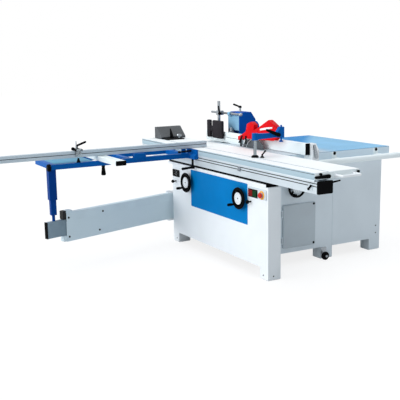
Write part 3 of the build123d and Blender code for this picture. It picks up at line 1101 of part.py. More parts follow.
def support_bar():
    """Extruded work support that slides across the frame."""
    y0, y1 = BAR_Y - BAR_W / 2, BAR_Y + BAR_W / 2
    z0 = OUT_TOP + SLIDE_GAP
    bar = block(BAR_X1 - BAR_LEN, BAR_X1, y0, y1, z0, TABLE_Z)
    bar = fillet(bar.edges().filter_by(Axis.X).group_by(Axis.Z)[-1], 5.0)
    x0, x1 = BAR_X1 - BAR_LEN + 6, BAR_X1 - 6
    for a, b in ((y0 + 4, BAR_Y - 14), (BAR_Y + 14, y1 - 4)):
        bar -= block(x0, x1, a, b, z0 + 4, TABLE_Z - 5)
    return bar - block(x0, x1, BAR_Y - 5, BAR_Y + 5, TABLE_Z - 8, TABLE_Z + 1)


def bar_knob():
    """Conical lock knob under the frame tube, on its stem."""
    top = TUBE_Z - SLIDE_GAP
    outline = [(0, top - 78), (14, top - 78), (19, top - 72), (12, top - 14), (14, top - 10),
               (14, top), (BAR_STEM_R, top), (BAR_STEM_R, OUT_TOP - SLIDE_GAP),
               (0, OUT_TOP - SLIDE_GAP)]
    return turned(outline, (*BAR_KNOB_AT, 0), (0, 0, 1))


def crosscut_fence():
    """Extruded fence with a stop groove, turning on a pin in the boss."""
    x0 = FENCE_X1 - FENCE_T
    fence = block(x0, FENCE_X1, FENCE_Y0, FENCE_INNER_Y, FENCE_Z, FENCE_Z + FENCE_H)
    for z0, z1 in ((FENCE_Z + 5, FENCE_Z + 20), (FENCE_Z + 32, FENCE_Z + FENCE_H - 5)):
        fence -= block(x0 + 5, FENCE_X1 - 5, FENCE_Y0 + 5, FENCE_INNER_Y - 5, z0, z1)
    fence -= block(FENCE_X1 - 8, FENCE_X1 + 1, FENCE_Y0 - 1, FENCE_INNER_Y + 1,
                   FENCE_Z + 23.5, FENCE_Z + 28.5)
    return fence + rod((FENCE_X, FENCE_PIVOT_Y, TUBE_Z + 10), (FENCE_X, FENCE_PIVOT_Y, FENCE_Z),
                       FENCE_PIN_R)


def flip_stop():
    """Saddle on the fence with a clamping lever and the flap pin."""
    x0, x1 = FENCE_X1 - FENCE_T - STOP_WALL, FENCE_X1 + STOP_WALL
    y0, y1 = STOP_Y - STOP_W / 2, STOP_Y + STOP_W / 2
    stop = block(x0, x1, y0, y1, FENCE_Z + FENCE_H / 2, STOP_TOP)
    stop = fillet(stop.edges().filter_by(Axis.Y).group_by(Axis.Z)[-1], 6.0)
    stop -= block(FENCE_X1 - FENCE_T - SLIDE_GAP, FENCE_X1 + SLIDE_GAP, y0 - 1, y1 + 1,
                  FENCE_Z, FENCE_Z + FENCE_H + SLIDE_GAP)
    for low in (y0 - STOP_WALL - SLIDE_GAP, y1 + SLIDE_GAP):
        stop += block(x1 - 2, FLAP_X + 6, low, low + STOP_WALL, FLAP_Z - 8, FLAP_Z + 6)
        stop += block(FENCE_X1 - 6, x1, low, low + STOP_WALL + SLIDE_GAP, STOP_TOP - 14, STOP_TOP - 1)
    stop += rod((FLAP_X, y0 - 4, FLAP_Z), (FLAP_X, y1 + 4, FLAP_Z), FLAP_PIN_R)
    bend = (FENCE_X, STOP_Y, STOP_TOP + 22)
    tip = (FENCE_X, STOP_Y + 70, STOP_TOP + 46)
    stop += rod((FENCE_X, STOP_Y, STOP_TOP - 1), bend, 8.0)
    return stop + rod(bend, tip, 8.0) + Pos(*bend) * Sphere(8.0) + Pos(*tip) * Sphere(8.0)


def stop_flap():
    """Flap that hangs in front of the fence and flips up."""
    y0, y1 = STOP_Y - STOP_W / 2, STOP_Y + STOP_W / 2
    flap = rod((FLAP_X, y0, FLAP_Z), (FLAP_X, y1, FLAP_Z), FLAP_R)
    plate = block(FLAP_X - FLAP_T / 2, FLAP_X + FLAP_T / 2, y0, y1, FENCE_Z + 5, FLAP_Z)
    plate = fillet(plate.edges().filter_by(Axis.X).group_by(Axis.Z)[0], 8.0)
    return flap + plate - rod((FLAP_X, y0 - 1, FLAP_Z), (FLAP_X, y1 + 1, FLAP_Z),
                              FLAP_PIN_R + RUN_FIT)


# Post and swing arm

ARM_LEN = math.hypot(POST_X - ARM_PIVOT_X, POST_Y - ARM_PIVOT_Y)
ARM_TURN = math.degrees(math.atan2(POST_Y - ARM_PIVOT_Y, POST_X - ARM_PIVOT_X))
ARM_MOUTH = ARM_LEN - 100.0
ARM_BACK = 30.0
SLIDER_TUBE_TOP = SLIDER_TUBE_Z + SLIDER_TUBE_H
SLIDER_TUBE_LEN = 870.0
SLIDER_OUT = 70.0       # inner tube beyond the post
POST_PIN_R = 12.0


def along_arm(solid):
    """Place a solid drawn along X on the line of the swing arm."""
    return Pos(ARM_PIVOT_X, ARM_PIVOT_Y, 0) * Rot(0, 0, ARM_TURN) * solid


def post():
    """Telescopic post under the outrigger with a pin at its foot."""
    half = POST_W / 2
    tube = soft_block(POST_X - half, POST_X + half, POST_Y - half, POST_Y + half, POST_Z, TUBE_Z,
                      5.0, Axis.Z)
    half = POST_INNER_W / 2
    foot = SLIDER_TUBE_TOP + 49.0
    tube += soft_block(POST_X - half, POST_X + half, POST_Y - half, POST_Y + half, foot, POST_Z,
                       4.0, Axis.Z)
    return tube + rod((POST_X, POST_Y, SLIDER_TUBE_TOP + SLIDE_GAP), (POST_X, POST_Y, foot), POST_PIN_R)


def swing_arm():
    """Box arm on a vertical pin, with rollers at its mouth."""
    half = ARM_W / 2
    arm = block(-ARM_BACK, ARM_MOUTH, -half, half, ARM_Z, ARM_Z + ARM_H)
    arm -= block(-ARM_BACK + ARM_WALL, ARM_MOUTH + 1, -half + ARM_WALL, half - ARM_WALL,
                 ARM_Z + ARM_WALL, ARM_Z + ARM_H - ARM_WALL)
    inner = half - ARM_WALL + 1
    for z0, z1 in ((SLIDER_TUBE_TOP + SLIDE_GAP, ARM_Z + ARM_H + 18),
                   (ARM_Z + ARM_WALL - 1, SLIDER_TUBE_Z - SLIDE_GAP)):
        roller = block(ARM_MOUTH - 60, ARM_MOUTH + 28, -inner, inner, z0, z1)
        arm += fillet(roller.edges().filter_by(Axis.Y), 5.0)
    arm -= rod((0, 0, ARM_Z - 1), (0, 0, ARM_Z + ARM_H + 1), ARM_PIN_R + RUN_FIT)
    return along_arm(arm)


def arm_slider():
    """Inner tube of the arm with a closing cap."""
    half = SLIDER_TUBE_W / 2
    x1 = ARM_LEN + SLIDER_OUT
    tube = block(x1 - SLIDER_TUBE_LEN, x1, -half, half, SLIDER_TUBE_Z, SLIDER_TUBE_TOP)
    tube = fillet(tube.edges().filter_by(Axis.X), 5.0)
    tube -= block(x1 - SLIDER_TUBE_LEN - 1, x1 - 8, -half + TUBE_WALL, half - TUBE_WALL,
                  SLIDER_TUBE_Z + TUBE_WALL, SLIDER_TUBE_TOP - TUBE_WALL)
    return along_arm(tube)


def arm_bracket():
    """Plate, two lugs and the pivot pin on the left side of the cabinet."""
    plate = block(X_LEFT - 8, X_LEFT, Y_FRONT + 5, Y_BACK - 5, ARM_Z - 30, ARM_Z + ARM_H + 30)
    pivot = (ARM_PIVOT_X, ARM_PIVOT_Y)
    lug = link((X_LEFT - 44, -6), 36.0, pivot, 28.0)
    lug += Pos(X_LEFT - 26, -6) * Rectangle(38, 72)
    low = ARM_Z - SLIDE_GAP - 14
    high = ARM_Z + ARM_H + SLIDE_GAP
    for z in (low, high):
        plate += Pos(0, 0, z) * extrude(lug, 14, dir=(0, 0, 1))
    return plate + rod((*pivot, low - 6), (*pivot, high + 20), ARM_PIN_R)


keep("outrigger_frame", outrigger_frame())
keep("support_bar", support_bar())
keep("bar_knob", bar_knob())
keep("crosscut_fence", crosscut_fence())
keep("flip_stop", flip_stop())
keep("stop_flap", stop_flap())
keep("post", post())
keep("swing_arm", swing_arm())
keep("arm_slider", arm_slider())
keep("arm_bracket", arm_bracket())


# Rip fence

RIP_RAIL_Y0 = MAIN_Y0 + 17.0
RIP_X1 = RIP_RAIL_X
RIP_Z = TABLE_Z + RIP_LIFT
RIP_BACK = RIP_Y + RIP_T
RAIL_BRACKET_YS = (MAIN_Y0 + 52.0, MAIN_Y1 - 10.0, EXT_Y1 - 150.0)
HEAD_Y0, HEAD_D = RIP_BACK + SLIDE_GAP, 60.0
HEAD_X0, HEAD_X1 = RIP_RAIL_X - 65.0, RIP_RAIL_X + 38.0
HEAD_Z = RIP_RAIL_Z + 20.0
KEY_Z, KEY_H, KEY_DEPTH = RIP_Z + 38.0, 10.0, 9.0
RIP_LEVER_AT = (HEAD_Y0 + HEAD_D / 2, TABLE_Z - 9.0)


def rail_bar(radius, y0, y1):
    """Round bar on the axis of the rip rail."""
    return rod((RIP_RAIL_X, y0, RIP_RAIL_Z), (RIP_RAIL_X, y1, RIP_RAIL_Z), radius)


def rip_rail():
    """Round rail with the brackets that bolt to the table edge."""
    rail = rail_bar(RIP_RAIL_R, RIP_RAIL_Y0, RIP_RAIL_Y0 + RIP_RAIL_LEN)
    for y in RAIL_BRACKET_YS:
        plate = block(MAIN_X1, MAIN_X1 + 8, y - 22, y + 22, BODY_TOP + 2, TABLE_Z - 6)
        rail += fillet(plate.edges().filter_by(Axis.X), 4.0)
        rail += block(MAIN_X1 + 4, RIP_RAIL_X, y - 15, y + 15, BODY_TOP + 2, HEAD_Z - 2)
    return rail


def rip_carriage():
    """Cast head that rides on the rail and clamps the fence."""
    outline = [(HEAD_X0, HEAD_Z), (RIP_RAIL_X + RIP_RAIL_R + 3, HEAD_Z),
               (RIP_RAIL_X + RIP_RAIL_R + 3, RIP_RAIL_Z - 18), (HEAD_X1, RIP_RAIL_Z - 18),
               (HEAD_X1, TABLE_Z + 37), (HEAD_X1 - 38, RIP_Z + RIP_H - 4), (HEAD_X0, RIP_Z + RIP_H - 4)]
    head = prism_y(outline, HEAD_Y0, HEAD_Y0 + HEAD_D)
    head = fillet(head.edges().filter_by(Axis.Y).group_by(Axis.Z)[-1], 10.0)
    head -= rail_bar(RIP_RAIL_R + SLIDE_GAP, HEAD_Y0 - 1, HEAD_Y0 + HEAD_D + 1)
    head += block(HEAD_X0, RIP_X1, HEAD_Y0 - KEY_DEPTH + 1, HEAD_Y0 + 1, KEY_Z - KEY_H / 2,
                  KEY_Z + KEY_H / 2)
    return head - rod((HEAD_X1 - 20, *RIP_LEVER_AT), (HEAD_X1 + 1, *RIP_LEVER_AT),
                      LEVER_PIN_R + RUN_FIT)


def rip_fence():
    """Extruded fence with two chambers and the clamping slot."""
    fence = block(RIP_X1 - RIP_LEN, RIP_X1, RIP_Y, RIP_BACK, RIP_Z, RIP_Z + RIP_H)
    fence = chamfer(fence.edges().filter_by(Axis.X).group_by(Axis.Z)[-1], 2.0)
    x0, x1 = RIP_X1 - RIP_LEN + 5, RIP_X1 - 5
    for z0, z1 in ((RIP_Z + 5, KEY_Z - 16), (KEY_Z + 16, RIP_Z + RIP_H - 5)):
        fence -= block(x0, x1, RIP_Y + 5, RIP_BACK - 5, z0, z1)
    return fence - block(RIP_X1 - RIP_LEN - 1, RIP_X1 + 1, RIP_BACK - KEY_DEPTH, RIP_BACK + 1,
                         KEY_Z - KEY_H / 2 - SLIDE_GAP, KEY_Z + KEY_H / 2 + SLIDE_GAP)


def rip_lever():
    """Clamping lever on the side of the carriage."""
    tip = (RIP_LEVER_AT[0] - 20, RIP_LEVER_AT[1] + 84)
    x0 = HEAD_X1 + SLIDE_GAP
    lever = slab_x(link(RIP_LEVER_AT, 14.0, tip, 9.0), x0, x0 + 12)
    return lever + rod((HEAD_X1 - 18, *RIP_LEVER_AT), (x0 + 1, *RIP_LEVER_AT), LEVER_PIN_R)


keep("rip_rail", rip_rail())
keep("rip_carriage", rip_carriage())
keep("rip_fence", rip_fence())
keep("rip_lever", rip_lever())


os.makedirs("parts", exist_ok=True)
for name, shape in NODES.items():
    export_step(shape, f"parts/{name}.step")
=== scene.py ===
import logging
import math
from dataclasses import dataclass
from enum import Enum
from typing import Any, Sequence

import bmesh
import bpy
from mathutils import Matrix, Vector


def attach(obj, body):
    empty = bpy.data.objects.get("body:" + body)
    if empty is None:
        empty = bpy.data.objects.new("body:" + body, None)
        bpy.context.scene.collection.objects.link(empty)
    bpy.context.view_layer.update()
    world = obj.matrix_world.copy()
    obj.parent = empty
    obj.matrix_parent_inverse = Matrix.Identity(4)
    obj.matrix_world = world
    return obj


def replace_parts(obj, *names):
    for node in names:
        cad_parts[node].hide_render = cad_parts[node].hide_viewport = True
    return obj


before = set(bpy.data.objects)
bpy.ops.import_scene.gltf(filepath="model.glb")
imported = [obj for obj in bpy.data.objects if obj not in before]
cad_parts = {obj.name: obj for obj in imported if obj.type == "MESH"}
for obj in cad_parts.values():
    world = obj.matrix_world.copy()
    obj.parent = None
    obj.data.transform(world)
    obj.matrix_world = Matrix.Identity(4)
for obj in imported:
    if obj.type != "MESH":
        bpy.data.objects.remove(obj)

LOG = logging.getLogger("machine")
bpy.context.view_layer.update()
Colour = tuple[int, int, int]
Point = tuple[float, float, float]
Span = tuple[float, float]
Profile = tuple[Span, ...]

MM = 0.001
RIGHT: Point = (1.0, 0.0, 0.0)
FRONT: Point = (0.0, -1.0, 0.0)
UP: Point = (0.0, 0.0, 1.0)
WHITE_LIGHT = (1.0, 1.0, 1.0, 1.0)
SHARP_ANGLE = math.radians(38.0)
BAR_TURN = math.pi / 2    # angle of a bar's first corner
BEVEL_STEPS, BEVEL_PROFILE = 2, 0.5
FLAT_CORNERS = 4    # a bar's ends have more
SCREW_SINK = 0.5    # depth of a screw's head in its seat
SCREW_HEAD: Profile = ((1.0, 0.25), (0.8, 0.55), (0.42, 0.62), (0.36, 0.2), (0.0, 0.2))
SCREW_STEPS = 18

MIX_SHARE, MIX_FIRST, MIX_SECOND, MIX_RESULT = 0, 6, 7, 2    # colour sockets of a Mix node
CLOUD_SCALE, CLOUD_DETAIL, FINE_DETAIL = 3.5, 4.0, 3.0
NOISE_BAND, SPECK_BAND, PATCH_BAND = (0.3, 0.7), (0.35, 0.65), (0.42, 0.62)
SPECK_SHARE, SPECK_TINT = 1.5, -0.35
ROUGH_SWING, ROUGH_LEAST = 0.07, 0.03
BUMP_DEPTH = 0.0004
EDGE_RADIUS, EDGE_SAMPLES, EDGE_TURN = 0.003, 4, (0.99, 0.8)
PATCH_LEAST = 0.2
RUB_DARK, RUB_PALE, PALE_SUM = 0.6, -0.25, 500    # tint of worn edges on dark and pale finishes


class Grain(Enum):
    """Direction and kind of the fine detail of a surface."""

    COAT = (700.0, 700.0, 700.0)
    CAST = (260.0, 260.0, 260.0)
    MOULDED = (1500.0, 1500.0, 1500.0)
    LINES_X = (4.0, 900.0, 900.0)
    LINES_Y = (900.0, 4.0, 900.0)
    LINES_Z = (900.0, 900.0, 6.0)
    SWIRL = (420.0, 420.0, 90.0)


def linear(colour: Colour) -> tuple[float, float, float, float]:
    """Turn a screen colour into the value that a shader takes, by the sRGB curve.

    Args:
        colour: Red, green and blue from 0 to 255.

    Returns:
        Linear red, green and blue with full alpha.
    """
    shares = [part / 255 for part in colour]
    flat = [s / 12.92 if s <= 0.04045 else ((s + 0.055) / 1.055) ** 2.4 for s in shares]
    return (*flat, 1.0)


def tinted(colour: Colour, share: float) -> Colour:
    """Lighten or darken a screen colour.

    Args:
        colour: The colour to start from.
        share: Part added to each channel, below zero to darken.

    Returns:
        The new colour, kept inside the screen range.
    """
    return tuple(int(max(0, min(255, part * (1 + share)))) for part in colour)


class Graph:
    """Node tree of a material or world with short calls to add and join nodes."""

    def __init__(self, owner: bpy.types.Material | bpy.types.World) -> None:
        """Start an empty tree.

        Args:
            owner: The material or world whose tree is filled.
        """
        owner.use_nodes = True
        self.tree = owner.node_tree
        self.tree.nodes.clear()

    def add(self, kind: str, inputs: dict[str, Any] | None = None, **settings: Any) -> bpy.types.Node:
        """Add one node.

        Args:
            kind: Blender's name of the node type, without its ShaderNode part.
            inputs: Socket values, or outputs of other nodes to link to.
            **settings: Attributes of the node.

        Returns:
            The new node.
        """
        node = self.tree.nodes.new("ShaderNode" + kind)
        for key, value in settings.items():
            setattr(node, key, value)
        for key, value in (inputs or {}).items():
            self.plug(node.inputs[int(key)] if key.isdigit() else node.inputs[key], value)
        return node

    def plug(self, socket: bpy.types.NodeSocket, value: Any) -> None:
        """Give an input its value.

        Args:
            socket: The input.
            value: A value, or the output of another node to link to.
        """
        if isinstance(value, bpy.types.NodeSocket):
            self.tree.links.new(value, socket)
        else:
            socket.default_value = value

    def mix(self, share: Any, first: Any, second: Any) -> bpy.types.NodeSocket:
        """Mix two colours.

        Args:
            share: How much of the second colour shows, a number or a socket.
            first: Colour or socket.
            second: Colour or socket.

        Returns:
            The mixed colour's socket.
        """
        node = self.add("Mix", data_type="RGBA")
        for index, value in ((MIX_SHARE, share), (MIX_FIRST, first), (MIX_SECOND, second)):
            self.plug(node.inputs[index], value)
        return node.outputs[MIX_RESULT]

    def ranged(self, value: bpy.types.NodeSocket, low: float, high: float, to_low: float = 0.0,
               to_high: float = 1.0) -> bpy.types.NodeSocket:
        """Map a value from one range to another, smoothly and within it.

        Args:
            value: The socket to map.
            low: Start of the range read.
            high: End of the range read.
            to_low: Start of the range given.
            to_high: End of the range given.

        Returns:
            The mapped socket.
        """
        node = self.add("MapRange", {"Value": value, "From Min": low, "From Max": high,
                                     "To Min": to_low, "To Max": to_high},
                        interpolation_type="SMOOTHSTEP")
        return node.outputs[0]


@dataclass(frozen=True)
class Shade:
    """A second colour that takes over along a line through the object."""

    colour: Colour
    start: Point
    end: Point

    def over(self, graph: Graph, coords: bpy.types.NodeSocket,
             under: bpy.types.NodeSocket) -> bpy.types.NodeSocket:
        """Lay the second colour over another.

        Args:
            graph: The tree to build in.
            coords: Object coordinates.
            under: The colour below.

        Returns:
            The blended colour's socket.
        """
        way = Vector(self.end) - Vector(self.start)
        shift = graph.add("VectorMath", {"0": coords, "1": self.start}, operation="SUBTRACT")
        along = graph.add("VectorMath", {"0": shift.outputs[0], "1": tuple(way / way.length_squared)},
                          operation="DOT_PRODUCT")
        share = graph.ranged(along.outputs["Value"], 0.0, 1.0)
        return graph.mix(share, under, linear(self.colour))


@dataclass(frozen=True)
class Finish:
    """One finish: its colour, gloss and the fine detail that it shows."""

    name: str
    colour: Colour
    roughness: float
    metallic: float = 0.0
    grain: Grain = Grain.COAT
    mottle: float = 0.05
    bump: float = 0.12
    wear: float = 0.0
    shades: tuple[Shade, ...] = ()
    clear: float = 0.0
    gloss: float = 0.25

    def material(self) -> bpy.types.Material:
        """Give the finish's material, built the first time it is asked for.

        Returns:
            The node material.
        """
        title = "finish_" + self.name
        found = bpy.data.materials.get(title)
        if found is not None:
            return found
        material = bpy.data.materials.new(title)
        graph = Graph(material)
        coords = graph.add("TexCoord").outputs["Object"]
        clouds = graph.add("TexNoise", {"Vector": coords, "Scale": CLOUD_SCALE,
                                        "Detail": CLOUD_DETAIL}).outputs[0]
        stretch = graph.add("Mapping", {"Vector": coords, "Scale": self.grain.value})
        fine = graph.add("TexNoise", {"Vector": stretch.outputs[0], "Scale": 1.0,
                                      "Detail": FINE_DETAIL}).outputs[0]
        colour = self._colour(graph, coords, clouds, fine)
        rough = graph.ranged(fine, *NOISE_BAND, max(ROUGH_LEAST, self.roughness - ROUGH_SWING),
                             min(1.0, self.roughness + ROUGH_SWING))
        lift = graph.add("Bump", {"Height": fine, "Strength": self.bump, "Distance": BUMP_DEPTH})
        shader = graph.add("BsdfPrincipled", {"Base Color": colour, "Roughness": rough,
                                              "Normal": lift.outputs[0],
                                              "Metallic": self.metallic,
                                              "Specular IOR Level": self.gloss,
                                              "Transmission Weight": self.clear})
        graph.add("OutputMaterial", {"Surface": shader.outputs[0]})
        return material

    def _colour(self, graph: Graph, coords: bpy.types.NodeSocket, clouds: bpy.types.NodeSocket,
                fine: bpy.types.NodeSocket) -> bpy.types.NodeSocket:
        """Build the colour with its mottling, shades, specks and worn edges.

        Args:
            graph: The tree to build in.
            coords: Object coordinates.
            clouds: Slow noise.
            fine: Noise of the grain.

        Returns:
            The colour's socket.
        """
        colour = graph.mix(graph.ranged(clouds, *NOISE_BAND), linear(tinted(self.colour, -self.mottle)),
                           linear(tinted(self.colour, self.mottle)))
        for shade in self.shades:
            colour = shade.over(graph, coords, colour)
        specks = graph.ranged(fine, *SPECK_BAND, 0.0, self.mottle * SPECK_SHARE)
        colour = graph.mix(specks, colour, linear(tinted(self.colour, SPECK_TINT)))
        if self.wear:
            rubbed = tinted(self.colour, RUB_DARK if sum(self.colour) < PALE_SUM else RUB_PALE)
            colour = graph.mix(self._rubbed(graph, clouds), colour, linear(rubbed))
        return colour

    def _rubbed(self, graph: Graph, clouds: bpy.types.NodeSocket) -> bpy.types.NodeSocket:
        """Find the outer edges where the finish is rubbed.

        Args:
            graph: The tree to build in.
            clouds: Slow noise that breaks the rubbing up.

        Returns:
            A mask that is above zero along worn edges.
        """
        soft = graph.add("Bevel", {"Radius": EDGE_RADIUS}, samples=EDGE_SAMPLES)
        flat = graph.add("NewGeometry").outputs["Normal"]
        turn = graph.add("VectorMath", {"0": soft.outputs[0], "1": flat}, operation="DOT_PRODUCT")
        edge = graph.ranged(turn.outputs["Value"], *EDGE_TURN, 0.0, self.wear)
        patch = graph.ranged(clouds, *PATCH_BAND, PATCH_LEAST, 1.0)
        return graph.add("Math", {"0": edge, "1": patch}, operation="MULTIPLY").outputs[0]


def aim(origin: Point, axis: Point) -> Matrix:
    """Place a form that grows along an axis.

    Args:
        origin: Place of height zero.
        axis: Direction in which the height grows.

    Returns:
        The placing matrix.
    """
    turn = Vector(UP).rotation_difference(Vector(axis)).to_matrix().to_4x4()
    return Matrix.Translation(origin) @ turn


def circle(place: Matrix, radius: float, height: float, steps: int, turn: float = 0.0) -> list[Vector]:
    """Lay points round an axis.

    Args:
        place: Placing matrix of the axis.
        radius: Radius of the circle. A circle of no radius is one point.
        height: Height along the axis.
        steps: Number of points.
        turn: Angle of the first point.

    Returns:
        The points in order.
    """
    angles = [turn + math.tau * k / steps for k in range(steps if radius else 1)]
    return [place @ Vector((radius * math.cos(angle), radius * math.sin(angle), height))
            for angle in angles]


class Shape:
    """The points and faces of a piece in the making.

    Each form has its own mesh until it is done, so that the order is the same each run.
    """

    def __init__(self) -> None:
        """Start empty."""
        self.points: list[Vector] = []
        self.faces: list[list[int]] = []

    def form(self, rings: Sequence[Sequence[Vector]], bevel: float = 0.0, corners: int = 0) -> "Shape":
        """Add rings of points joined with faces, with closed ends.

        Args:
            rings: The rings from end to end, in millimetres. A ring of one point is a pole, and
                rings that end as they start make a closed band.
            bevel: Width of the rounding.
            corners: Only faces with more corners than this are rounded.

        Returns:
            This shape.
        """
        bm = bmesh.new()
        closed = rings[0] == rings[-1]
        verts = [[bm.verts.new(point) for point in ring] for ring in rings[:len(rings) - closed]]
        ends = [] if closed else [verts[0], verts[-1]]
        faces = [bm.faces.new(ring) for ring in ends if len(ring) > 1]
        for low, high in zip(verts, verts[1:] + verts[:closed]):
            for k in range(max(len(low), len(high))):
                side = (low[k % len(low)], low[(k + 1) % len(low)],
                        high[(k + 1) % len(high)], high[k % len(high)])
                faces.append(bm.faces.new(list(dict.fromkeys(side))))
        bmesh.ops.recalc_face_normals(bm, faces=faces)
        if bevel:
            edges = dict.fromkeys(edge for face in faces if len(face.verts) > corners
                                  for edge in face.edges)
            bmesh.ops.bevel(bm, geom=list(edges), offset=bevel, offset_type="OFFSET",
                            segments=BEVEL_STEPS, profile=BEVEL_PROFILE, affect="EDGES", material=-1,
                            clamp_overlap=True)
        bm.verts.index_update()
        first = len(self.points)
        self.points += [vert.co * MM for vert in bm.verts]
        self.faces += [[first + vert.index for vert in face.verts] for face in bm.faces]
        bm.free()
        return self

    def add(self, *forms: "Box | Bar | Turned") -> "Shape":
        """Add boxes, bars and turned forms.

        Args:
            *forms: The forms in order.

        Returns:
            This shape.
        """
        for form in forms:
            form.grow(self)
        return self

    def plate(self, outline: Sequence[Point], depth: Point, bevel: float) -> "Shape":
        """Add a flat plate of any outline.

        Args:
            outline: Corner points in order.
            depth: Thickness as a direction and length.
            bevel: Width of the rounding.

        Returns:
            This shape.
        """
        ring = [Vector(point) for point in outline]
        return self.form([ring, [point + Vector(depth) for point in ring]], bevel)

    def screw(self, at: Point, axis: Point, radius: float) -> "Shape":
        """Add a domed screw head with a round socket.

        Args:
            at: Middle of the head's seat.
            axis: Direction out of the seat.
            radius: Radius of the head.

        Returns:
            This shape.
        """
        head = tuple((radius * out, radius * height) for out, height in SCREW_HEAD)
        profile = ((0.0, -SCREW_SINK), (radius, -SCREW_SINK), *head)
        return self.add(Turned(profile, at, axis, SCREW_STEPS))

    def piece(self, name: str, body: str, finish: Finish, slot: str) -> bpy.types.Object:
        """Make a named piece that rides on a body.

        Args:
            name: Name of the piece.
            body: The body that carries it.
            finish: Finish of its surface.
            slot: Material slot of the record that it belongs to; not used.

        Returns:
            The new object.
        """
        mesh = bpy.data.meshes.new(name)
        mesh.from_pydata(self.points, [], self.faces)
        mesh.shade_smooth()
        mesh.set_sharp_from_angle(angle=SHARP_ANGLE)
        mesh.materials.append(finish.material())
        item = bpy.data.objects.new(name, mesh)
        bpy.context.collection.objects.link(item)
        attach(item, body)
        LOG.info("piece %s on %s: %d faces", name, body, len(mesh.polygons))
        return item

    def black(self, name: str, body: str) -> bpy.types.Object:
        """Make a piece of black plastic.

        Args:
            name: Name of the piece.
            body: The body that carries it.

        Returns:
            The new object.
        """
        return self.piece(name, body, BLACK_PLASTIC, "black_plastic")


@dataclass(frozen=True)
class Box:
    """A box with rounded edges, from its lowest to its highest corner."""

    low: Point
    high: Point
    bevel: float

    def grow(self, shape: Shape) -> None:
        """Add the box to a piece.

        Args:
            shape: The piece in the making.
        """
        (x0, y0, z0), (x1, y1, z1) = self.low, self.high
        ring = ((x0, y0, z0), (x1, y0, z0), (x1, y1, z0), (x0, y1, z0))
        shape.plate(ring, (0, 0, z1 - z0), self.bevel)


@dataclass(frozen=True)
class Bar:
    """A round or tapered bar with rounded ends, and its radius at both."""

    start: Point
    end: Point
    radius: float
    tip: float
    sides: int = 14
    bevel: float = 2.5

    def grow(self, shape: Shape) -> None:
        """Add the bar to a piece.

        Args:
            shape: The piece in the making.
        """
        way = Vector(self.end) - Vector(self.start)
        place = aim(self.start, tuple(way))
        shape.form([circle(place, radius, height, self.sides, BAR_TURN)
                    for radius, height in ((self.radius, 0.0), (self.tip, way.length))],
                   self.bevel, FLAT_CORNERS)


@dataclass(frozen=True)
class Turned:
    """A turned form, whose profile of radius and height goes from pole to pole or is a closed band."""

    profile: Profile
    origin: Point
    axis: Point
    steps: int = 28

    def grow(self, shape: Shape) -> None:
        """Add the turned form to a piece.

        Args:
            shape: The piece in the making.
        """
        place = aim(self.origin, self.axis)
        shape.form([circle(place, radius, height, self.steps) for radius, height in self.profile])


def dress(**finishes: Finish) -> None:
    """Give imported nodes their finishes.

    Args:
        **finishes: Finish of each node by name.
    """
    for name, finish in finishes.items():
        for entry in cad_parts[name].material_slots:
            entry.material = finish.material()
        LOG.info("node %s in %s", name, finish.name)


WHITE_COAT = Finish("white_coat", (238, 243, 246), 0.42, mottle=0.012, wear=0.25)
AZURE_COAT = Finish("azure_coat", (0, 122, 192), 0.45, mottle=0.03, wear=0.15, gloss=0.03)
BLUE_COAT = Finish("blue_coat", (0, 92, 172), 0.45, mottle=0.05, wear=0.15, gloss=0.06)
POST_COAT = Finish("post_coat", (0, 60, 136), 0.45, mottle=0.05, wear=0.15, gloss=0.05)
HOOD_COAT = Finish("hood_coat", (0, 84, 176), 0.45, mottle=0.05, wear=0.15, gloss=0.06, shades=(
    Shade((140, 188, 217), (0.0, 0.4716, 0.0), (0.0, 0.4706, 0.0)),))
PALE_BLUE_SHEET = Finish("pale_blue_sheet", (66, 142, 174), 0.5, mottle=0.05)
# Painted shade: the arm's white paint made darker and bluer for the shade its face lies in. Its first
# shade makes the roller block beyond the arm's mouth black, and its second brings the arm's colour back
# below 350 mm.
ARM_SHADED_WHITE = Finish("arm_shaded_white", (212, 229, 236), 0.45, mottle=0.02, wear=0.2, shades=(
    Shade((9, 10, 11), (-1.16822, -1.14302, 0.0), (-1.16799, -1.14379, 0.0)),
    Shade((212, 229, 236), (0.0, 0.0, 0.356), (0.0, 0.0, 0.350))))
TUBE_COAT = Finish("tube_coat", (128, 148, 160), 0.45, mottle=0.05, wear=0.3)
SHOE_COAT = Finish("shoe_coat", (84, 88, 92), 0.4, mottle=0.12, wear=0.4)
SWITCH_COAT = Finish("switch_coat", (206, 216, 222), 0.45, mottle=0.03)
PLATE_COAT = Finish("plate_coat", (12, 14, 16), 0.5, mottle=0.15, grain=Grain.MOULDED, gloss=0.05)
# Painted shade: copies of the white paint made darker for the shade they lie in, the cabinet's sides
# darker than its front and the recessed door darker still.
SHADED_SIDE_WHITE = Finish("shaded_side_white", (224, 234, 240), 0.42, mottle=0.012, wear=0.25)
SHADED_DOOR_WHITE = Finish("shaded_door_white", (192, 202, 208), 0.42, mottle=0.015, wear=0.25)
RED_COAT = Finish("red_coat", (216, 2, 18), 0.4, mottle=0.05, wear=0.12, gloss=0.08)
# Its shade is painted shade: the faces below the top, from about 854 mm down, are darker than the lit
# top.
PALE_TABLE = Finish("pale_table", (248, 250, 250), 0.6, grain=Grain.LINES_X, mottle=0.012, bump=0.08,
                    gloss=0.1, shades=(
                        Shade((174, 196, 207), (0.0, 0.0, 0.8548), (0.0, 0.0, 0.8540)),))
PALE_BAR = Finish("pale_bar", (240, 249, 251), 0.5, grain=Grain.LINES_X, mottle=0.02, bump=0.08)
ALUMINIUM_X = Finish("aluminium_along_x", (206, 216, 222), 0.42, metallic=0.3, grain=Grain.LINES_X,
                     mottle=0.03, bump=0.08)
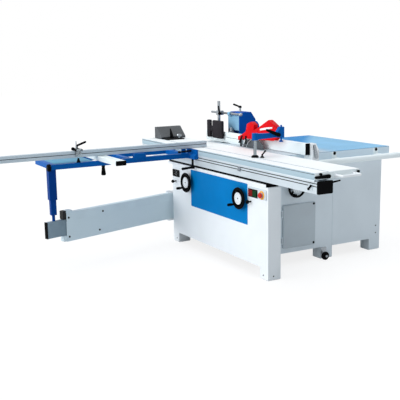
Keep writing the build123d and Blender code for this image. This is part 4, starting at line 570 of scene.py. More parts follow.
# Its two shades paint the groove of the fence's face dark, from about 880.5 to 885.5 mm high: painted
# shade in the recess.
ALUMINIUM_Y = Finish("aluminium_along_y", (186, 201, 211), 0.42, metallic=0.3, grain=Grain.LINES_Y,
                     mottle=0.03, bump=0.08, shades=(
                         Shade((62, 70, 78), (0.0, 0.0, 0.8803), (0.0, 0.0, 0.8806)),
                         Shade((186, 201, 211), (0.0, 0.0, 0.8854), (0.0, 0.0, 0.8857))))
TABLE_IRON = Finish("ground_table", (134, 190, 226), 0.5, grain=Grain.LINES_X, mottle=0.03, bump=0.06,
                    gloss=0.08, shades=(
                        # Painted reflection: the azure corner, with a sharp diagonal edge against the
                        # pale rest of the glossy top.
                        Shade((0, 132, 200), (-0.995, 1.1635, 0.855), (-1.075, 1.0735, 0.855)),
                        # Greyer towards the front.
                        Shade((198, 208, 215), (-0.6, 0.86, 0.855), (-0.6, 0.6, 0.855)),
                        # Painted shadow: a dark line just under the top edge.
                        Shade((96, 140, 176), (0.0, 0.0, 0.8542), (0.0, 0.0, 0.8538)),
                        # Painted light: the faces below the top painted paler than the top, for how they
                        # look lit.
                        Shade((226, 242, 252), (0.0, 0.0, 0.8522), (0.0, 0.0, 0.8516))))
DARK_IRON = Finish("dark_casting", (50, 54, 58), 0.6, metallic=0.2, grain=Grain.CAST, mottle=0.15,
                   bump=0.5)
BLADE_STEEL = Finish("blade_steel", (92, 97, 102), 0.34, metallic=0.7, grain=Grain.SWIRL, mottle=0.06)
STEEL = Finish("bright_steel", (150, 157, 163), 0.28, metallic=0.9, grain=Grain.SWIRL, mottle=0.04)
CHROME = Finish("chrome_plate", (148, 155, 160), 0.16, metallic=1.0, grain=Grain.LINES_Z, mottle=0.02,
                bump=0.02)
BLACK_PLASTIC = Finish("black_plastic", (8, 9, 10), 0.5, grain=Grain.MOULDED, mottle=0.2, bump=0.3,
                       gloss=0.03)
PAD_COAT = Finish("pad_coat", (40, 38, 42), 0.6, grain=Grain.MOULDED, mottle=0.3, gloss=0.05)
TREAD_RUBBER = Finish("tread_rubber", (16, 14, 15), 0.75, grain=Grain.CAST, mottle=0.2, bump=0.4,
                      gloss=0.05)
RED_PLASTIC = Finish("red_plastic", (206, 40, 26), 0.35, grain=Grain.MOULDED, mottle=0.05)
DARK_RED_PLASTIC = Finish("dark_red_plastic", (122, 14, 14), 0.35, grain=Grain.MOULDED, mottle=0.05,
                          gloss=0.1)
GREEN_PLASTIC = Finish("green_plastic", (4, 56, 26), 0.35, grain=Grain.MOULDED, mottle=0.05, gloss=0.1)
YELLOW_PLASTIC = Finish("yellow_plastic", (240, 170, 36), 0.45, grain=Grain.MOULDED, mottle=0.04)
DIAL_WHITE = Finish("dial_white", (232, 238, 241), 0.35, grain=Grain.MOULDED, mottle=0.02, bump=0.05)
CLEAR_PLASTIC = Finish("clear_plastic", (220, 232, 238), 0.12, grain=Grain.MOULDED, mottle=0.02,
                       bump=0.02, clear=0.75)


@dataclass
class Cabinet:
    """Painted sheet cabinet with its door, feet and fasteners."""

    front_y: float = -55.0
    side_x: float = 50.0
    cover_x: float = -224.0
    door_x: float = -211.0
    screw_r: float = 5.0
    cover_screws: tuple[Span, ...] = ((1210.0, 203.0), (1211.0, 142.0))
    side_screw: Span = (-7.0, 30.0)
    foot_xs: Span = (-10.0, -1363.0)
    foot_screw_z: float = 31.0
    door_locks: tuple[Span, ...] = ((555.0, 463.0), (556.0, 152.0))
    lock: Profile = ((0.0, -1.0), (9.0, -1.0), (9.0, 2.0), (7.5, 4.0), (3.0, 4.0), (2.4, 2.5), (0.0, 2.5))

    def build(self) -> None:
        """Dress the cabinet and add its screws and door locks."""
        # The body, end cover and door take the painted-shade copies of the white paint.
        dress(front_frame=WHITE_COAT, mounting_rail=WHITE_COAT, body_shell=SHADED_SIDE_WHITE,
              end_cover=SHADED_SIDE_WHITE, end_door=SHADED_DOOR_WHITE, front_panel=AZURE_COAT, foot_plates=STEEL,
              caster_bracket=STEEL, caster_wheel=TREAD_RUBBER, arm_bracket=WHITE_COAT)
        screws = Shape()
        for y, z in self.cover_screws:
            screws.screw((self.cover_x, y, z), RIGHT, self.screw_r)
        screws.screw((self.side_x, *self.side_screw), RIGHT, self.screw_r)
        for x in self.foot_xs:
            screws.screw((x, self.front_y, self.foot_screw_z), FRONT, self.screw_r)
        screws.black("cabinet_screws", "cabinet")
        locks = Shape()
        for y, z in self.door_locks:
            locks.add(Turned(self.lock, (self.door_x, y, z), RIGHT))
        locks.black("door_locks", "end_door")


@dataclass
class Controls:
    """Handwheels, switch plate, height dial and lock knobs."""

    wheels: tuple[tuple[str, Point, Point], ...] = (
        ("rise_wheel", (-288.0, -59.0, 560.0), FRONT), ("spindle_wheel", (-1112.0, -59.0, 565.0), FRONT),
        ("tilt_wheel", (-227.0, 380.0, 612.0), RIGHT))
    webbed: tuple[str, ...] = ("rise_wheel", "spindle_wheel")
    web: Profile = ((18.0, 4.2), (74.0, 27.0), (74.0, 33.5), (18.0, 13.0), (18.0, 4.2))
    web_steps: int = 48
    dial: Profile = ((0.0, 19.5), (17.0, 19.5), (19.0, 33.5), (46.0, 33.5), (46.0, 38.5), (44.0, 39.5),
                     (41.0, 38.5), (40.0, 37.5), (0.0, 38.1))
    dial_cap: Profile = ((0.0, 36.5), (5.0, 36.5), (5.0, 39.5), (3.5, 40.5), (0.0, 40.9))
    dial_steps: int = 40
    ticks: int = 12
    tick_ends: tuple[Span, Span] = ((32.0, 37.8), (38.0, 37.6))
    tick_r: float = 0.9
    tick_sides: int = 6
    tick_round: float = 0.2
    ring: Turned = Turned(
        ((22.0, 0.0), (22.0, 2.2), (23.0, 2.8), (29.5, 2.2), (31.5, 0.6), (31.5, -2.0), (22.0, -2.0),
         (22.0, 0.0)),
        (-15.0, -68.0, 622.0), FRONT, steps=36)
    gauge_face: Turned = Turned(
        ((0.0, -0.5), (23.5, -0.5), (23.5, 1.2), (22.0, 2.4), (21.0, 1.0), (0.0, 1.0)),
        (-1352.5, -57.0, 612.5), FRONT, steps=36)
    gauge_ticks: int = 20
    gauge_long_each: int = 5
    gauge_long: float = 14.5
    gauge_short: float = 17.0
    gauge_out: float = 20.5
    gauge_tick_y: float = -58.1
    gauge_tick_r: float = 0.5
    gauge_tick_round: float = 0.1
    pointer: Bar = Bar((-1355.5, -58.6, 610.5), (-1339.5, -58.6, 621.5), 1.2, 0.4, sides=8, bevel=0.2)
    button_xs: Span = (-158.0, -104.0)
    button_z: float = 620.0
    bezel_y: Span = (-67.2, -64.5)
    bezel_out: Span = (34.0, 30.0)
    bezel_in: Span = (25.0, 22.8)
    bezel_round: float = 0.5

    def build(self) -> None:
        """Dress the controls and add the dials, webs, rings and bezels."""
        dress(rise_wheel=BLACK_PLASTIC, spindle_wheel=BLACK_PLASTIC, tilt_wheel=BLACK_PLASTIC,
              switch_plate=SWITCH_COAT, start_button=GREEN_PLASTIC, stop_button=DARK_RED_PLASTIC,
              emergency_stop=RED_PLASTIC, gauge_plate=PLATE_COAT, lock_knob_left=BLACK_PLASTIC,
              lock_knob_right=BLACK_PLASTIC)
        for body, origin, axis in self.wheels:
            self.wheel_dial(body, origin, axis)
            if body in self.webbed:
                web = Turned(self.web, origin, axis, self.web_steps)
                Shape().add(web).black(body + "_web", body)
        Shape().add(self.ring).piece("stop_ring", "cabinet", YELLOW_PLASTIC, "")
        self.bezels()
        self.height_gauge()

    def wheel_dial(self, body: str, origin: Point, axis: Point) -> None:
        """Add the pale dial in the middle of a handwheel.

        Args:
            body: The wheel that carries it.
            origin: Middle of the wheel's seat.
            axis: Direction out of the seat.
        """
        dial = Turned(self.dial, origin, axis, self.dial_steps)
        Shape().add(dial).piece(body + "_dial", body, DIAL_WHITE, "white_paint")
        marks = Shape()
        turn = Vector(UP).rotation_difference(Vector(axis)).to_matrix()
        for i in range(self.ticks):
            angle = math.tau * i / self.ticks
            way = Vector((math.cos(angle), math.sin(angle), 0.0))
            inner, outer = (tuple(turn @ (way * reach + Vector(UP) * height) + Vector(origin))
                            for reach, height in self.tick_ends)
            marks.add(Bar(inner, outer, self.tick_r, self.tick_r, self.tick_sides,
                          self.tick_round))
        marks.add(Turned(self.dial_cap, origin, axis)).black(body + "_marks", body)

    def bezels(self) -> None:
        """Add a dark frame round each push button."""
        frames = Shape()
        (y0, y1), (w, h), (u, v), z = self.bezel_y, self.bezel_out, self.bezel_in, self.button_z
        for x in self.button_xs:
            for low, high in (((x - w, y0, z - h), (x - u, y1, z + h)),
                              ((x + u, y0, z - h), (x + w, y1, z + h)),
                              ((x - w, y0, z + v), (x + w, y1, z + h)),
                              ((x - w, y0, z - h), (x + w, y1, z - v))):
                frames.add(Box(low, high, self.bezel_round))
        frames.black("button_bezels", "cabinet")

    def height_gauge(self) -> None:
        """Add the face, ticks and pointer of the height dial."""
        Shape().add(self.gauge_face).black("gauge_face", "cabinet")
        marks = Shape()
        x, _, z = self.gauge_face.origin
        for i in range(self.gauge_ticks):
            angle = math.tau * i / self.gauge_ticks
            inner = self.gauge_short if i % self.gauge_long_each else self.gauge_long
            start, end = ((x + reach * math.cos(angle), self.gauge_tick_y, z + reach * math.sin(angle))
                          for reach in (inner, self.gauge_out))
            marks.add(Bar(start, end, self.gauge_tick_r, self.gauge_tick_r, self.tick_sides,
                          self.gauge_tick_round))
        marks.add(self.pointer).piece("gauge_marks", "cabinet", DIAL_WHITE, "white_paint")


@dataclass
class SawUnit:
    """Tilting saw with its red guard."""

    side_y: float = 340.0
    guard_w: float = 40.0
    sheet: float = 3.0
    cheek_round: float = 0.9
    strip_in: float = 1.0
    strip_round: float = 0.4
    foot: Profile = ((-974.0, 938.0), (-972.0, 908.0), (-940.0, 905.0), (-903.0, 927.0), (-446.0, 945.0))
    crown: Profile = (
        (-394.0, 987.0), (-394.0, 1015.0), (-420.0, 1056.0), (-487.0, 1090.0), (-522.0, 1104.0),
        (-684.0, 1025.0), (-736.0, 1007.0), (-728.0, 1050.0), (-772.0, 1073.0), (-835.0, 1052.0),
        (-852.0, 990.0), (-918.0, 955.0))
    skirts: tuple[tuple[Span, Span], ...] = (
        ((-904.0, 950.0), (-952.0, 884.0)), ((-848.0, 951.0), (-849.0, 884.0)))
    skirt_w: float = 24.0
    skirt_t: float = 3.0
    skirt_round: float = 0.8
    skirt_screw_r: float = 4.0
    skirt_screw_drop: float = 10.0
    band: Profile = ((-641.0, 1012.0), (-556.0, 1024.0), (-470.0, 1040.0), (-470.0, 1052.0),
                     (-556.0, 1042.0), (-641.0, 1026.0))
    band_sink: float = 0.5
    band_t: float = 2.0
    band_round: float = 0.5

    def build(self) -> None:
        """Dress the saw and add the guard's skirts, shell and pale band."""
        dress(saw_guard=RED_COAT, saw_blade=BLADE_STEEL, saw_arbor=STEEL,
              riving_knife=BLADE_STEEL, saw_trunnion=DARK_IRON, saw_carriage=DARK_IRON,
              saw_motor=DARK_IRON, saw_belt=TREAD_RUBBER)
        skirts = Shape()
        half, y = self.skirt_w / 2, self.side_y
        for (x0, z0), (x1, z1) in self.skirts:
            outline = [(x0 - half, y, z0), (x0 + half, y, z0), (x1 + half, y, z1), (x1 - half, y, z1)]
            skirts.plate(outline, (0, -self.skirt_t, 0), self.skirt_round)
            skirts.screw((x0, y - self.skirt_t, z0 - self.skirt_screw_drop), FRONT, self.skirt_screw_r)
        skirts.black("guard_skirts", "saw_guard")
        self.shell()
        band = [(x, y + self.band_sink, z) for x, z in self.band]
        Shape().plate(band, (0, -self.band_t, 0), self.band_round).piece(
            "guard_band", "saw_guard", WHITE_COAT, "white_paint")

    def shell(self) -> None:
        """Build the sheet guard: two cheeks with a strip folded along the top."""
        shell = Shape()
        for y in (self.side_y, self.side_y + self.guard_w - self.sheet):
            shell.plate([(x, y, z) for x, z in self.foot + self.crown], (0, self.sheet, 0),
                        self.cheek_round)
        y = self.side_y + self.strip_in
        for (x0, z0), (x1, z1) in zip(self.crown, self.crown[1:]):
            inward = Vector((z0 - z1, 0.0, x1 - x0)).normalized() * self.sheet
            start, end = Vector((x0, y, z0)), Vector((x1, y, z1))
            shell.plate([tuple(v) for v in (start, end, end + inward, start + inward)],
                        (0, self.guard_w - 2 * self.strip_in, 0), self.strip_round)
        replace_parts(shell.piece("guard_shell", "saw_guard", RED_COAT, "red_paint"), "saw_guard")


@dataclass
class Moulder:
    """Spindle moulder with its hood, boards and pressure device."""

    rod: Box = Box((-1450.2, 424.8, 931.0), (-1419.8, 437.2, 1210.2), 0.15)
    post: Turned = Turned(
        ((0.0, -1.0), (15.0, -1.0), (15.0, 4.0), (10.0, 7.0), (9.0, 34.0), (0.0, 34.0)),
        (-1252.5, 540.0, 1120.0), UP)
    hood_hub: Turned = Turned(
        ((0.0, 0.0), (14.0, 0.0), (15.0, 3.0), (14.0, 14.0), (10.0, 19.0), (0.0, 20.0)),
        (-1252.5, 540.0, 1153.0), UP)
    hood_grip: Bar = Bar((-1252.5, 540.0, 1162.0), (-1330.0, 520.0, 1182.0), 7.0, 8.5, bevel=3.0)
    rod_hub: Turned = Turned(
        ((0.0, 0.0), (13.0, 0.0), (13.0, 16.0), (9.0, 20.0), (0.0, 20.0)),
        (-1410.0, 419.0, 1100.0), RIGHT)
    rod_grip: Bar = Bar((-1395.0, 414.0, 1098.0), (-1408.0, 408.0, 1170.0), 8.0, 6.0, bevel=3.0)
    boards: tuple[Box, ...] = (
        Box((-1585.0, 385.0, 857.0), (-1300.0, 405.0, 950.0), 1.2),
        Box((-1200.0, 385.0, 857.0), (-1015.0, 405.0, 950.0), 1.2))
    bridges: tuple[Box, ...] = (
        Box((-1301.0, 385.4, 858.0), (-1199.0, 391.0, 903.0), 0.8),
        Box((-1301.0, 385.4, 906.0), (-1199.0, 391.0, 949.5), 0.8))
    grooves: tuple[Box, ...] = (
        Box((-1584.0, 384.5, 903.2), (-1301.0, 385.6, 905.8), 0.3),
        Box((-1199.0, 384.5, 903.2), (-1016.0, 385.6, 905.8), 0.3))

    def build(self) -> None:
        """Dress the moulder and add its rod face, levers and grooved boards."""
        dress(moulder_base=AZURE_COAT, moulder_hood=HOOD_COAT, moulder_boards=PALE_BAR,
              pressure_bar=STEEL, pressure_shoe=PAD_COAT, spindle_quill=DARK_IRON, spindle_shaft=STEEL)
        Shape().add(self.rod).piece("pressure_rod_face", "pressure_shoe", STEEL, "steel")
        Shape().add(self.post).piece("hood_post", "cabinet", STEEL, "steel")
        Shape().add(self.hood_hub, self.hood_grip).black("hood_lever", "cabinet")
        Shape().add(self.rod_grip, self.rod_hub).black("rod_lever", "pressure_bar")
        boards = Shape().add(*self.boards, *self.bridges)
        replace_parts(boards.piece("grooved_boards", "cabinet", PALE_BAR, "aluminium"), "moulder_boards")
        Shape().add(*self.grooves).piece("board_grooves", "cabinet", PLATE_COAT, "black_plastic")


@dataclass
class FixedTables:
    """Cast tables with the beam, its caps and small fittings."""

    bolt_ys: Span = (765.0, 1195.0)
    bolt_z: float = 839.0
    washer_x: float = -227.0
    washer: Profile = ((0.0, -8.5), (15.0, -8.5), (15.0, 0.0), (13.0, 1.5), (0.0, 1.5))
    bolt_x: float = -225.5
    bolt_flange: Profile = ((0.0, -0.5), (12.15, -0.5), (12.15, 1.4), (10.8, 2.0), (0.0, 2.0))
    bolt_head: Profile = ((0.0, 1.5), (9.0, 1.5), (9.0, 5.58), (7.65, 6.75), (0.0, 6.75))
    bolt_sides: int = 6
    clip: Box = Box((505.0, -57.0, 735.0), (548.0, -52.0, 782.0), 1.5)
    clip_screw: Point = (526.0, -57.0, 772.0)
    clip_screw_r: float = 5.0
    beam_grip: Bar = Bar((514.0, -61.0, 746.0), (548.0, -65.0, 774.0), 5.0, 7.0, sides=12, bevel=2.0)
    beam_hub: Turned = Turned(
        ((0.0, 0.0), (9.0, 0.0), (9.0, 6.0), (7.0, 8.0), (0.0, 8.0)),
        (514.0, -56.5, 746.0), FRONT)
    # The first two strips are seals. The third, under the beam's lower front edge, and the upright plate
    # at the right end between frame and beam are painted shadow: black sheets set in the shade gap.
    seals_and_shadow_strips: tuple[Box, ...] = (
        Box((-1999.0, -52.6, 784.3), (594.0, -49.5, 789.7), 0.4),
        Box((-1999.0, -52.6, 765.3), (594.0, -49.5, 770.7), 0.4),
        Box((-1491.0, -50.0, 703.5), (26.0, -44.5, 718.6), 0.6),
        Box((29.5, -60.0, 684.5), (34.0, 44.0, 718.0), 1.2))
    cap_grip: Bar = Bar((601.0, 60.0, 789.0), (606.0, 128.0, 797.0), 6.5, 5.0)
    cap_hub: Turned = Turned(
        ((0.0, 0.0), (10.0, 0.0), (10.0, 9.0), (7.0, 12.0), (0.0, 12.0)),
        (601.0, 60.0, 782.0), UP)
    stop: Box = Box((-345.0, -62.0, 757.0), (-312.0, -52.0, 790.0), 2.0)
    stop_screw: Point = (-329.0, -62.0, 774.0)
    stop_screw_r: float = 6.0

    def build(self) -> None:
        """Dress the tables and add the edge bolts and the beam's fittings."""
        dress(main_table=TABLE_IRON, extension_table=TABLE_IRON, table_insert=ALUMINIUM_X,
              slide_beam=ALUMINIUM_X, beam_end_caps=BLACK_PLASTIC, rip_rail=PALE_BAR)
        washers, bolts = Shape(), Shape()
        for y in self.bolt_ys:
            washers.add(Turned(self.washer, (self.washer_x, y, self.bolt_z), RIGHT))
            at = (self.bolt_x, y, self.bolt_z)
            bolts.add(Turned(self.bolt_flange, at, RIGHT),
                      Turned(self.bolt_head, at, RIGHT, self.bolt_sides))
        washers.piece("edge_washers", "cabinet", STEEL, "steel")
        bolts.black("edge_bolts", "cabinet")
        clip = Shape().add(self.clip).screw(self.clip_screw, FRONT, self.clip_screw_r)
        clip.piece("beam_clip", "cabinet", ALUMINIUM_X, "aluminium")
        Shape().add(self.beam_grip, self.beam_hub).black("beam_lever", "cabinet")
        # Seals, and black strips for the painted shadow under the beam.
        Shape().add(*self.seals_and_shadow_strips).black("beam_seals_and_shadow_strips", "cabinet")
        Shape().add(self.cap_grip, self.cap_hub).black("cap_lever", "cabinet")
        stop = Shape().add(self.stop).screw(self.stop_screw, FRONT, self.stop_screw_r)
        stop.piece("beam_stop", "cabinet", STEEL, "steel")


@dataclass
class SlidingSide:
    """Sliding table with its clamp, shoe and handle."""

    end_knob: Profile = ((0.0, 0.0), (7.0, 0.0), (7.0, 6.0), (8.5, 8.0), (8.5, 16.0), (6.0, 19.0),
                         (0.0, 19.0))
    end_knobs: tuple[Point, ...] = ((570.0, -12.0, 845.5), (570.0, 301.0, 838.0))
    end_plates: tuple[Box, ...] = (
        Box((569.8, -54.5, 808.0), (570.8, 315.5, 854.4), 0.25),
        Box((-2036.8, -54.5, 808.0), (-2035.8, 315.5, 854.4), 0.25))
    skirt: Box = Box((-2035.0, -55.6, 793.0), (569.0, -53.5, 808.0), 0.5)
    strip: Box = Box((-2035.5, -55.6, 815.0), (569.5, -54.4, 843.0), 0.2)
    line: Box = Box((-2035.0, -55.9, 843.2), (569.0, -54.6, 846.8), 0.3)
    foot_hub: Turned = Turned(
        ((0.0, 0.0), (16.0, 0.0), (13.0, 8.0), (7.0, 12.0), (6.0, 26.0), (0.0, 26.0)),
        (-242.0, 92.0, 855.3), UP)
    foot_grip: Bar = Bar((-242.0, 92.0, 878.0), (-220.0, 107.0, 908.0), 5.0, 6.5, sides=12, bevel=2.0)
    collar: Turned = Turned(
        ((12.3, 18.2), (19.0, 16.6), (27.0, 8.4), (27.0, 0.2), (26.1, 0.2), (26.1, 7.6), (18.2, 15.8),
         (12.3, 17.4), (12.3, 18.2)),
        (-288.0, 58.0, 855.2), UP, steps=32)
    gusset: tuple[Point, ...] = (
        (-1862.5, 150.0, 856.0), (-1790.0, 150.0, 856.0), (-1862.5, 150.0, 950.0))
    gusset_t: float = 12.0
    gusset_round: float = 2.0
    shoe_foot: Box = Box((-1862.5, 66.0, 855.2), (-1740.0, 240.0, 864.0), 2.0)
    shoe_knob: Turned = Turned(
        ((0.0, 0.0), (9.0, 0.0), (9.0, 14.0), (22.0, 18.0), (24.0, 30.0), (20.0, 40.0), (0.0, 42.0)),
        (-1776.0, 200.0, 863.0), UP)

    def build(self) -> None:
        """Dress the sliding table and add its end, face, clamp and shoe fittings."""
        dress(sliding_table=PALE_TABLE, push_handle=WHITE_COAT, table_lock_lever=BLACK_PLASTIC,
              clamp_column=CHROME, clamp_arm=BLUE_COAT, clamp_lever=BLACK_PLASTIC, edge_shoe=SHOE_COAT)
        body = "sliding_table"
        knobs = Shape()
        for at in self.end_knobs:
            knobs.add(Turned(self.end_knob, at, RIGHT))
        knobs.black("table_end_knobs", body)
        Shape().add(*self.end_plates).piece("table_end_plates", body, PALE_BAR, "aluminium")
        Shape().add(self.skirt).piece("table_skirt", body, ALUMINIUM_X, "aluminium")
        # The strip takes the painted shade of the table's face.
        Shape().add(self.strip).piece("table_face_strip", body, PALE_TABLE, "aluminium")
        Shape().add(self.line).piece("table_face_line", body, SHOE_COAT, "dark_iron")
        Shape().add(self.foot_hub, self.foot_grip).black("clamp_foot_lever", body)
        Shape().add(self.collar).black("clamp_collar", body)
        bracket = Shape().plate(self.gusset, (0, self.gusset_t, 0), self.gusset_round)
        bracket.add(self.shoe_foot).black("shoe_bracket", body)
        Shape().add(self.shoe_knob).piece("shoe_knob", body, CHROME, "chrome")


@dataclass
class Outrigger:
    """Outrigger frame with its sheet, fence, stop, post and knobs."""

    sheet: Box = Box((-1399.0, -1229.0, 816.1), (-1081.0, -907.0, 817.6), 0.5)
    end_cap: Box = Box((-711.0, -885.5, 819.8), (-698.0, -804.5, 855.5), 3.0)
    bracket: Box = Box((-1082.0, -585.0, 800.0), (-1034.0, -485.0, 852.0), 4.0)
    cone: Turned = Turned(
        ((0.0, 0.0), (16.0, 0.0), (16.0, 5.0), (13.0, 9.0), (6.0, 33.0), (4.0, 35.0), (0.0, 35.0)),
        (-1060.0, -1045.0, 820.0), UP)
    knob: Turned = Turned(
        ((0.0, 0.0), (26.0, 0.0), (28.0, 4.0), (28.0, 16.0), (22.0, 24.0), (0.0, 25.0)),
        (-1060.0, -1270.0, 797.0), FRONT)
    tube_grip: Bar = Bar((-1030.0, -190.0, 838.0), (-1030.0, -78.0, 841.0), 6.0, 8.0, sides=12)
    tube_hub: Turned = Turned(
        ((0.0, 0.0), (12.0, 0.0), (12.0, 12.0), (9.0, 16.0), (0.0, 16.0)),
        (-1030.0, -190.0, 830.0), UP)
    corner_stem: Bar = Bar((-985.0, -92.0, 779.0), (-985.0, -92.0, 712.0), 9.0, 9.0, bevel=1.5)
    corner_hub: Turned = Turned(
        ((0.0, 0.0), (17.0, 0.0), (17.0, 16.0), (12.0, 22.0), (0.0, 22.0)),
        (-985.0, -92.0, 700.0), UP)
    corner_grip: Bar = Bar((-985.0, -92.0, 710.0), (-985.0, -192.0, 704.0), 9.0, 11.0)
    stop_rod: Bar = Bar((-1064.0, -1058.0, 866.0), (-1064.0, -1058.0, 984.0), 5.0, 5.0, bevel=1.5)
    stop_knob: Turned = Turned(
        ((0.0, 0.0), (13.0, 0.0), (13.0, 14.0), (9.0, 18.0), (0.0, 18.0)),
        (-1074.0, -1082.0, 926.0), RIGHT)

    def build(self) -> None:
        """Dress the outrigger and add its sheet, bracket, knobs, levers and stop rod."""
        dress(outrigger_frame=BLUE_COAT, post=POST_COAT, support_bar=PALE_BAR,
              bar_knob=BLACK_PLASTIC, crosscut_fence=ALUMINIUM_Y, flip_stop=BLACK_PLASTIC,
              stop_flap=CLEAR_PLASTIC)
        body = "sliding_table"
        Shape().add(self.sheet).piece("outrigger_sheet", body, PALE_BLUE_SHEET, "azure_paint")
        Shape().add(self.end_cap).black("bar_end_cap", "support_bar")
        Shape().add(self.bracket).piece("fence_bracket", body, BLUE_COAT, "blue_paint")
        knobs = Shape().add(self.cone, self.knob, self.tube_grip, self.tube_hub)
        knobs.black("outrigger_knobs", body)
        lever = Shape().add(self.corner_stem, self.corner_hub, self.corner_grip)
        lever.black("corner_lever", body)
        Shape().add(self.stop_rod).piece("stop_rod", "flip_stop", CHROME, "chrome")
        Shape().add(self.stop_knob).black("stop_knob", "flip_stop")


@dataclass
class SwingArm:
    """Box arm on the cabinet with the inner tube that follows the post."""

    pivot: Span = (-1481.0, -68.0)
    along: Span = (0.27937, -0.96018)
    half: float = 25.0
    screws: tuple[Span, ...] = ((1098.0, 380.0), (761.0, 380.0), (1098.0, 227.0), (800.0, 231.0))
    screw_r: float = 8.0
    cap_way: Span = (1289.6, 1295.6)
    cap_half: float = 18.6
    cap_z: Span = (239.4, 370.2)
    cap_round: float = 1.2

    def at(self, way: float, side: float, z: float) -> Point:
        """Place on the arm.

        Args:
            way: Distance from the pivot along the arm.
            side: Distance from its middle plane, towards the near side.
            z: Height.

        Returns:
            The place in the machine's frame.
        """
        (px, py), (ux, uy) = self.pivot, self.along
        return (px + ux * way - uy * side, py + uy * way + ux * side, z)

    def build(self) -> None:
        """Dress the arm and add its screws on both sides and the cap of its tube."""
        # The arm takes the painted-shade copy of the white paint.
        dress(swing_arm=ARM_SHADED_WHITE, arm_slider=TUBE_COAT)
        screws = Shape()
        normal = Vector((-self.along[1], self.along[0], 0.0))
        for way, z in self.screws:
            for side in (1, -1):
                screws.screw(self.at(way, side * self.half, z), tuple(normal * side), self.screw_r)
        screws.black("arm_screws", "swing_arm")
        (start, end), half, (low, high) = self.cap_way, self.cap_half, self.cap_z
        ring = [self.at(way, side, low)
                for way, side in ((start, -half), (end, -half), (end, half), (start, half))]
        Shape().plate(ring, (0, 0, high - low), self.cap_round).black("tube_cap", "arm_slider")


@dataclass
class RipSide:
    """Rip fence with its carriage and lever."""

    end_plate: Box = Box((-150.5, 419.6, 857.5), (-146.0, 460.1, 945.4), 1.0)

    def build(self) -> None:
        """Dress the fence and add its dark end plate."""
        dress(rip_fence=PALE_BAR, rip_carriage=WHITE_COAT, rip_lever=STEEL)
        Shape().add(self.end_plate).black("rip_end_plate", "rip_fence")


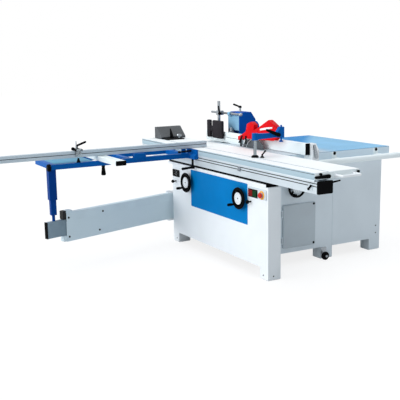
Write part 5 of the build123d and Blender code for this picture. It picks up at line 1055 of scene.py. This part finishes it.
@dataclass
class Studio:
    """Camera, floor and light of the picture."""

    place: Point = (4.274, -2.962, 1.588)
    azimuth: float = 60.85
    pitch: float = 10.89
    roll: float = -0.935
    lens: float = 66.3
    sensor: float = 36.0
    ambient: Colour = (196, 203, 210)
    ambient_strength: float = 0.74
    lamps: tuple[tuple[str, float, Point, float], ...] = (
        ("key", 1.88, (0.15, 0.95, -0.32), 50.0), ("top", 1.35, (0.1, -0.1, -1.0), 70.0))
    floor_half: float = 30.0
    floor_z: float = -0.0005
    floor_tone: float = 0.74
    floor_glow: float = 1.16
    shadow_share: float = 0.3

    def build(self) -> None:
        """Set the camera, the floor, the lamps and the world."""
        self.camera()
        self.floor()
        self.light()
        self.world()
        bpy.context.scene.view_settings.view_transform = "Standard"

    def camera(self) -> None:
        """Stand the camera where the photograph was taken."""
        az, el, turn = (math.radians(v) for v in (self.azimuth, self.pitch, self.roll))
        back = Vector((math.sin(az) * math.cos(el), -math.cos(az) * math.cos(el), math.sin(el)))
        right = Vector((math.cos(az), math.sin(az), 0.0))
        up = back.cross(right)
        right, up = (math.cos(turn) * right + math.sin(turn) * up,
                     math.cos(turn) * up - math.sin(turn) * right)
        data = bpy.data.cameras.new("view")
        data.lens = self.lens
        data.sensor_width = self.sensor
        camera = bpy.data.objects.new("view", data)
        camera.matrix_world = Matrix((
            (right.x, up.x, back.x, self.place[0]), (right.y, up.y, back.y, self.place[1]),
            (right.z, up.z, back.z, self.place[2]), (0, 0, 0, 1)))
        bpy.context.collection.objects.link(camera)
        bpy.context.scene.camera = camera

    def seen(self, graph: Graph) -> bpy.types.NodeSocket:
        """Tell rays that see the background from rays that light the object.

        Args:
            graph: The tree to build in.

        Returns:
            A socket that is one for camera, glossy and transmission rays.
        """
        path = graph.add("LightPath").outputs
        first = graph.add("Math", {"0": path["Is Camera Ray"], "1": path["Is Glossy Ray"]},
                          operation="MAXIMUM")
        both = graph.add("Math", {"0": first.outputs[0], "1": path["Is Transmission Ray"]},
                         operation="MAXIMUM")
        return both.outputs[0]

    def floor(self) -> None:
        """Lay a pale floor that keeps the object's shadow."""
        bm = bmesh.new()
        bmesh.ops.create_grid(bm, x_segments=1, y_segments=1, size=self.floor_half)
        mesh = bpy.data.meshes.new("floor")
        bm.to_mesh(mesh)
        bm.free()
        material = bpy.data.materials.new("floor_white")
        graph = Graph(material)
        matt = graph.add("BsdfDiffuse", {"Color": (*[self.floor_tone] * 3, 1.0)})
        glow = graph.add("Emission", {"Color": WHITE_LIGHT, "Strength": self.floor_glow})
        share = graph.add("Math", {"0": self.seen(graph), "1": 1.0 - self.shadow_share},
                          operation="MULTIPLY")
        mixed = graph.add("MixShader", {"0": share.outputs[0], "1": matt.outputs[0],
                                        "2": glow.outputs[0]})
        graph.add("OutputMaterial", {"Surface": mixed.outputs[0]})
        mesh.materials.append(material)
        floor = bpy.data.objects.new("floor", mesh)
        floor.location.z = self.floor_z
        bpy.context.collection.objects.link(floor)

    def light(self) -> None:
        """Hang the broad soft lamps."""
        for name, strength, way, soft in self.lamps:
            data = bpy.data.lights.new(name, "SUN")
            data.energy = strength
            data.angle = math.radians(soft)
            lamp = bpy.data.objects.new(name, data)
            lamp.rotation_euler = Vector(way).to_track_quat("-Z", "Y").to_euler()
            bpy.context.collection.objects.link(lamp)

    def world(self) -> None:
        """Give even light from all round and a white background."""
        world = bpy.data.worlds.new("studio")
        bpy.context.scene.world = world
        graph = Graph(world)
        soft = graph.add("Background", {"Color": linear(self.ambient),
                                        "Strength": self.ambient_strength})
        white = graph.add("Background", {"Color": WHITE_LIGHT, "Strength": 1.0})
        mixed = graph.add("MixShader", {"0": self.seen(graph), "1": soft.outputs[0],
                                        "2": white.outputs[0]})
        graph.add("OutputWorld", {"Surface": mixed.outputs[0]})


def main() -> None:
    """Build every sub-assembly in order."""
    logging.basicConfig(level=logging.INFO, format="%(name)s: %(message)s")
    for unit in (Cabinet(), Controls(), FixedTables(), SawUnit(), Moulder(), SlidingSide(), Outrigger(),
                 SwingArm(), RipSide(), Studio()):
        LOG.info("building %s", type(unit).__name__)
        unit.build()


if __name__ == "__main__":
    main()
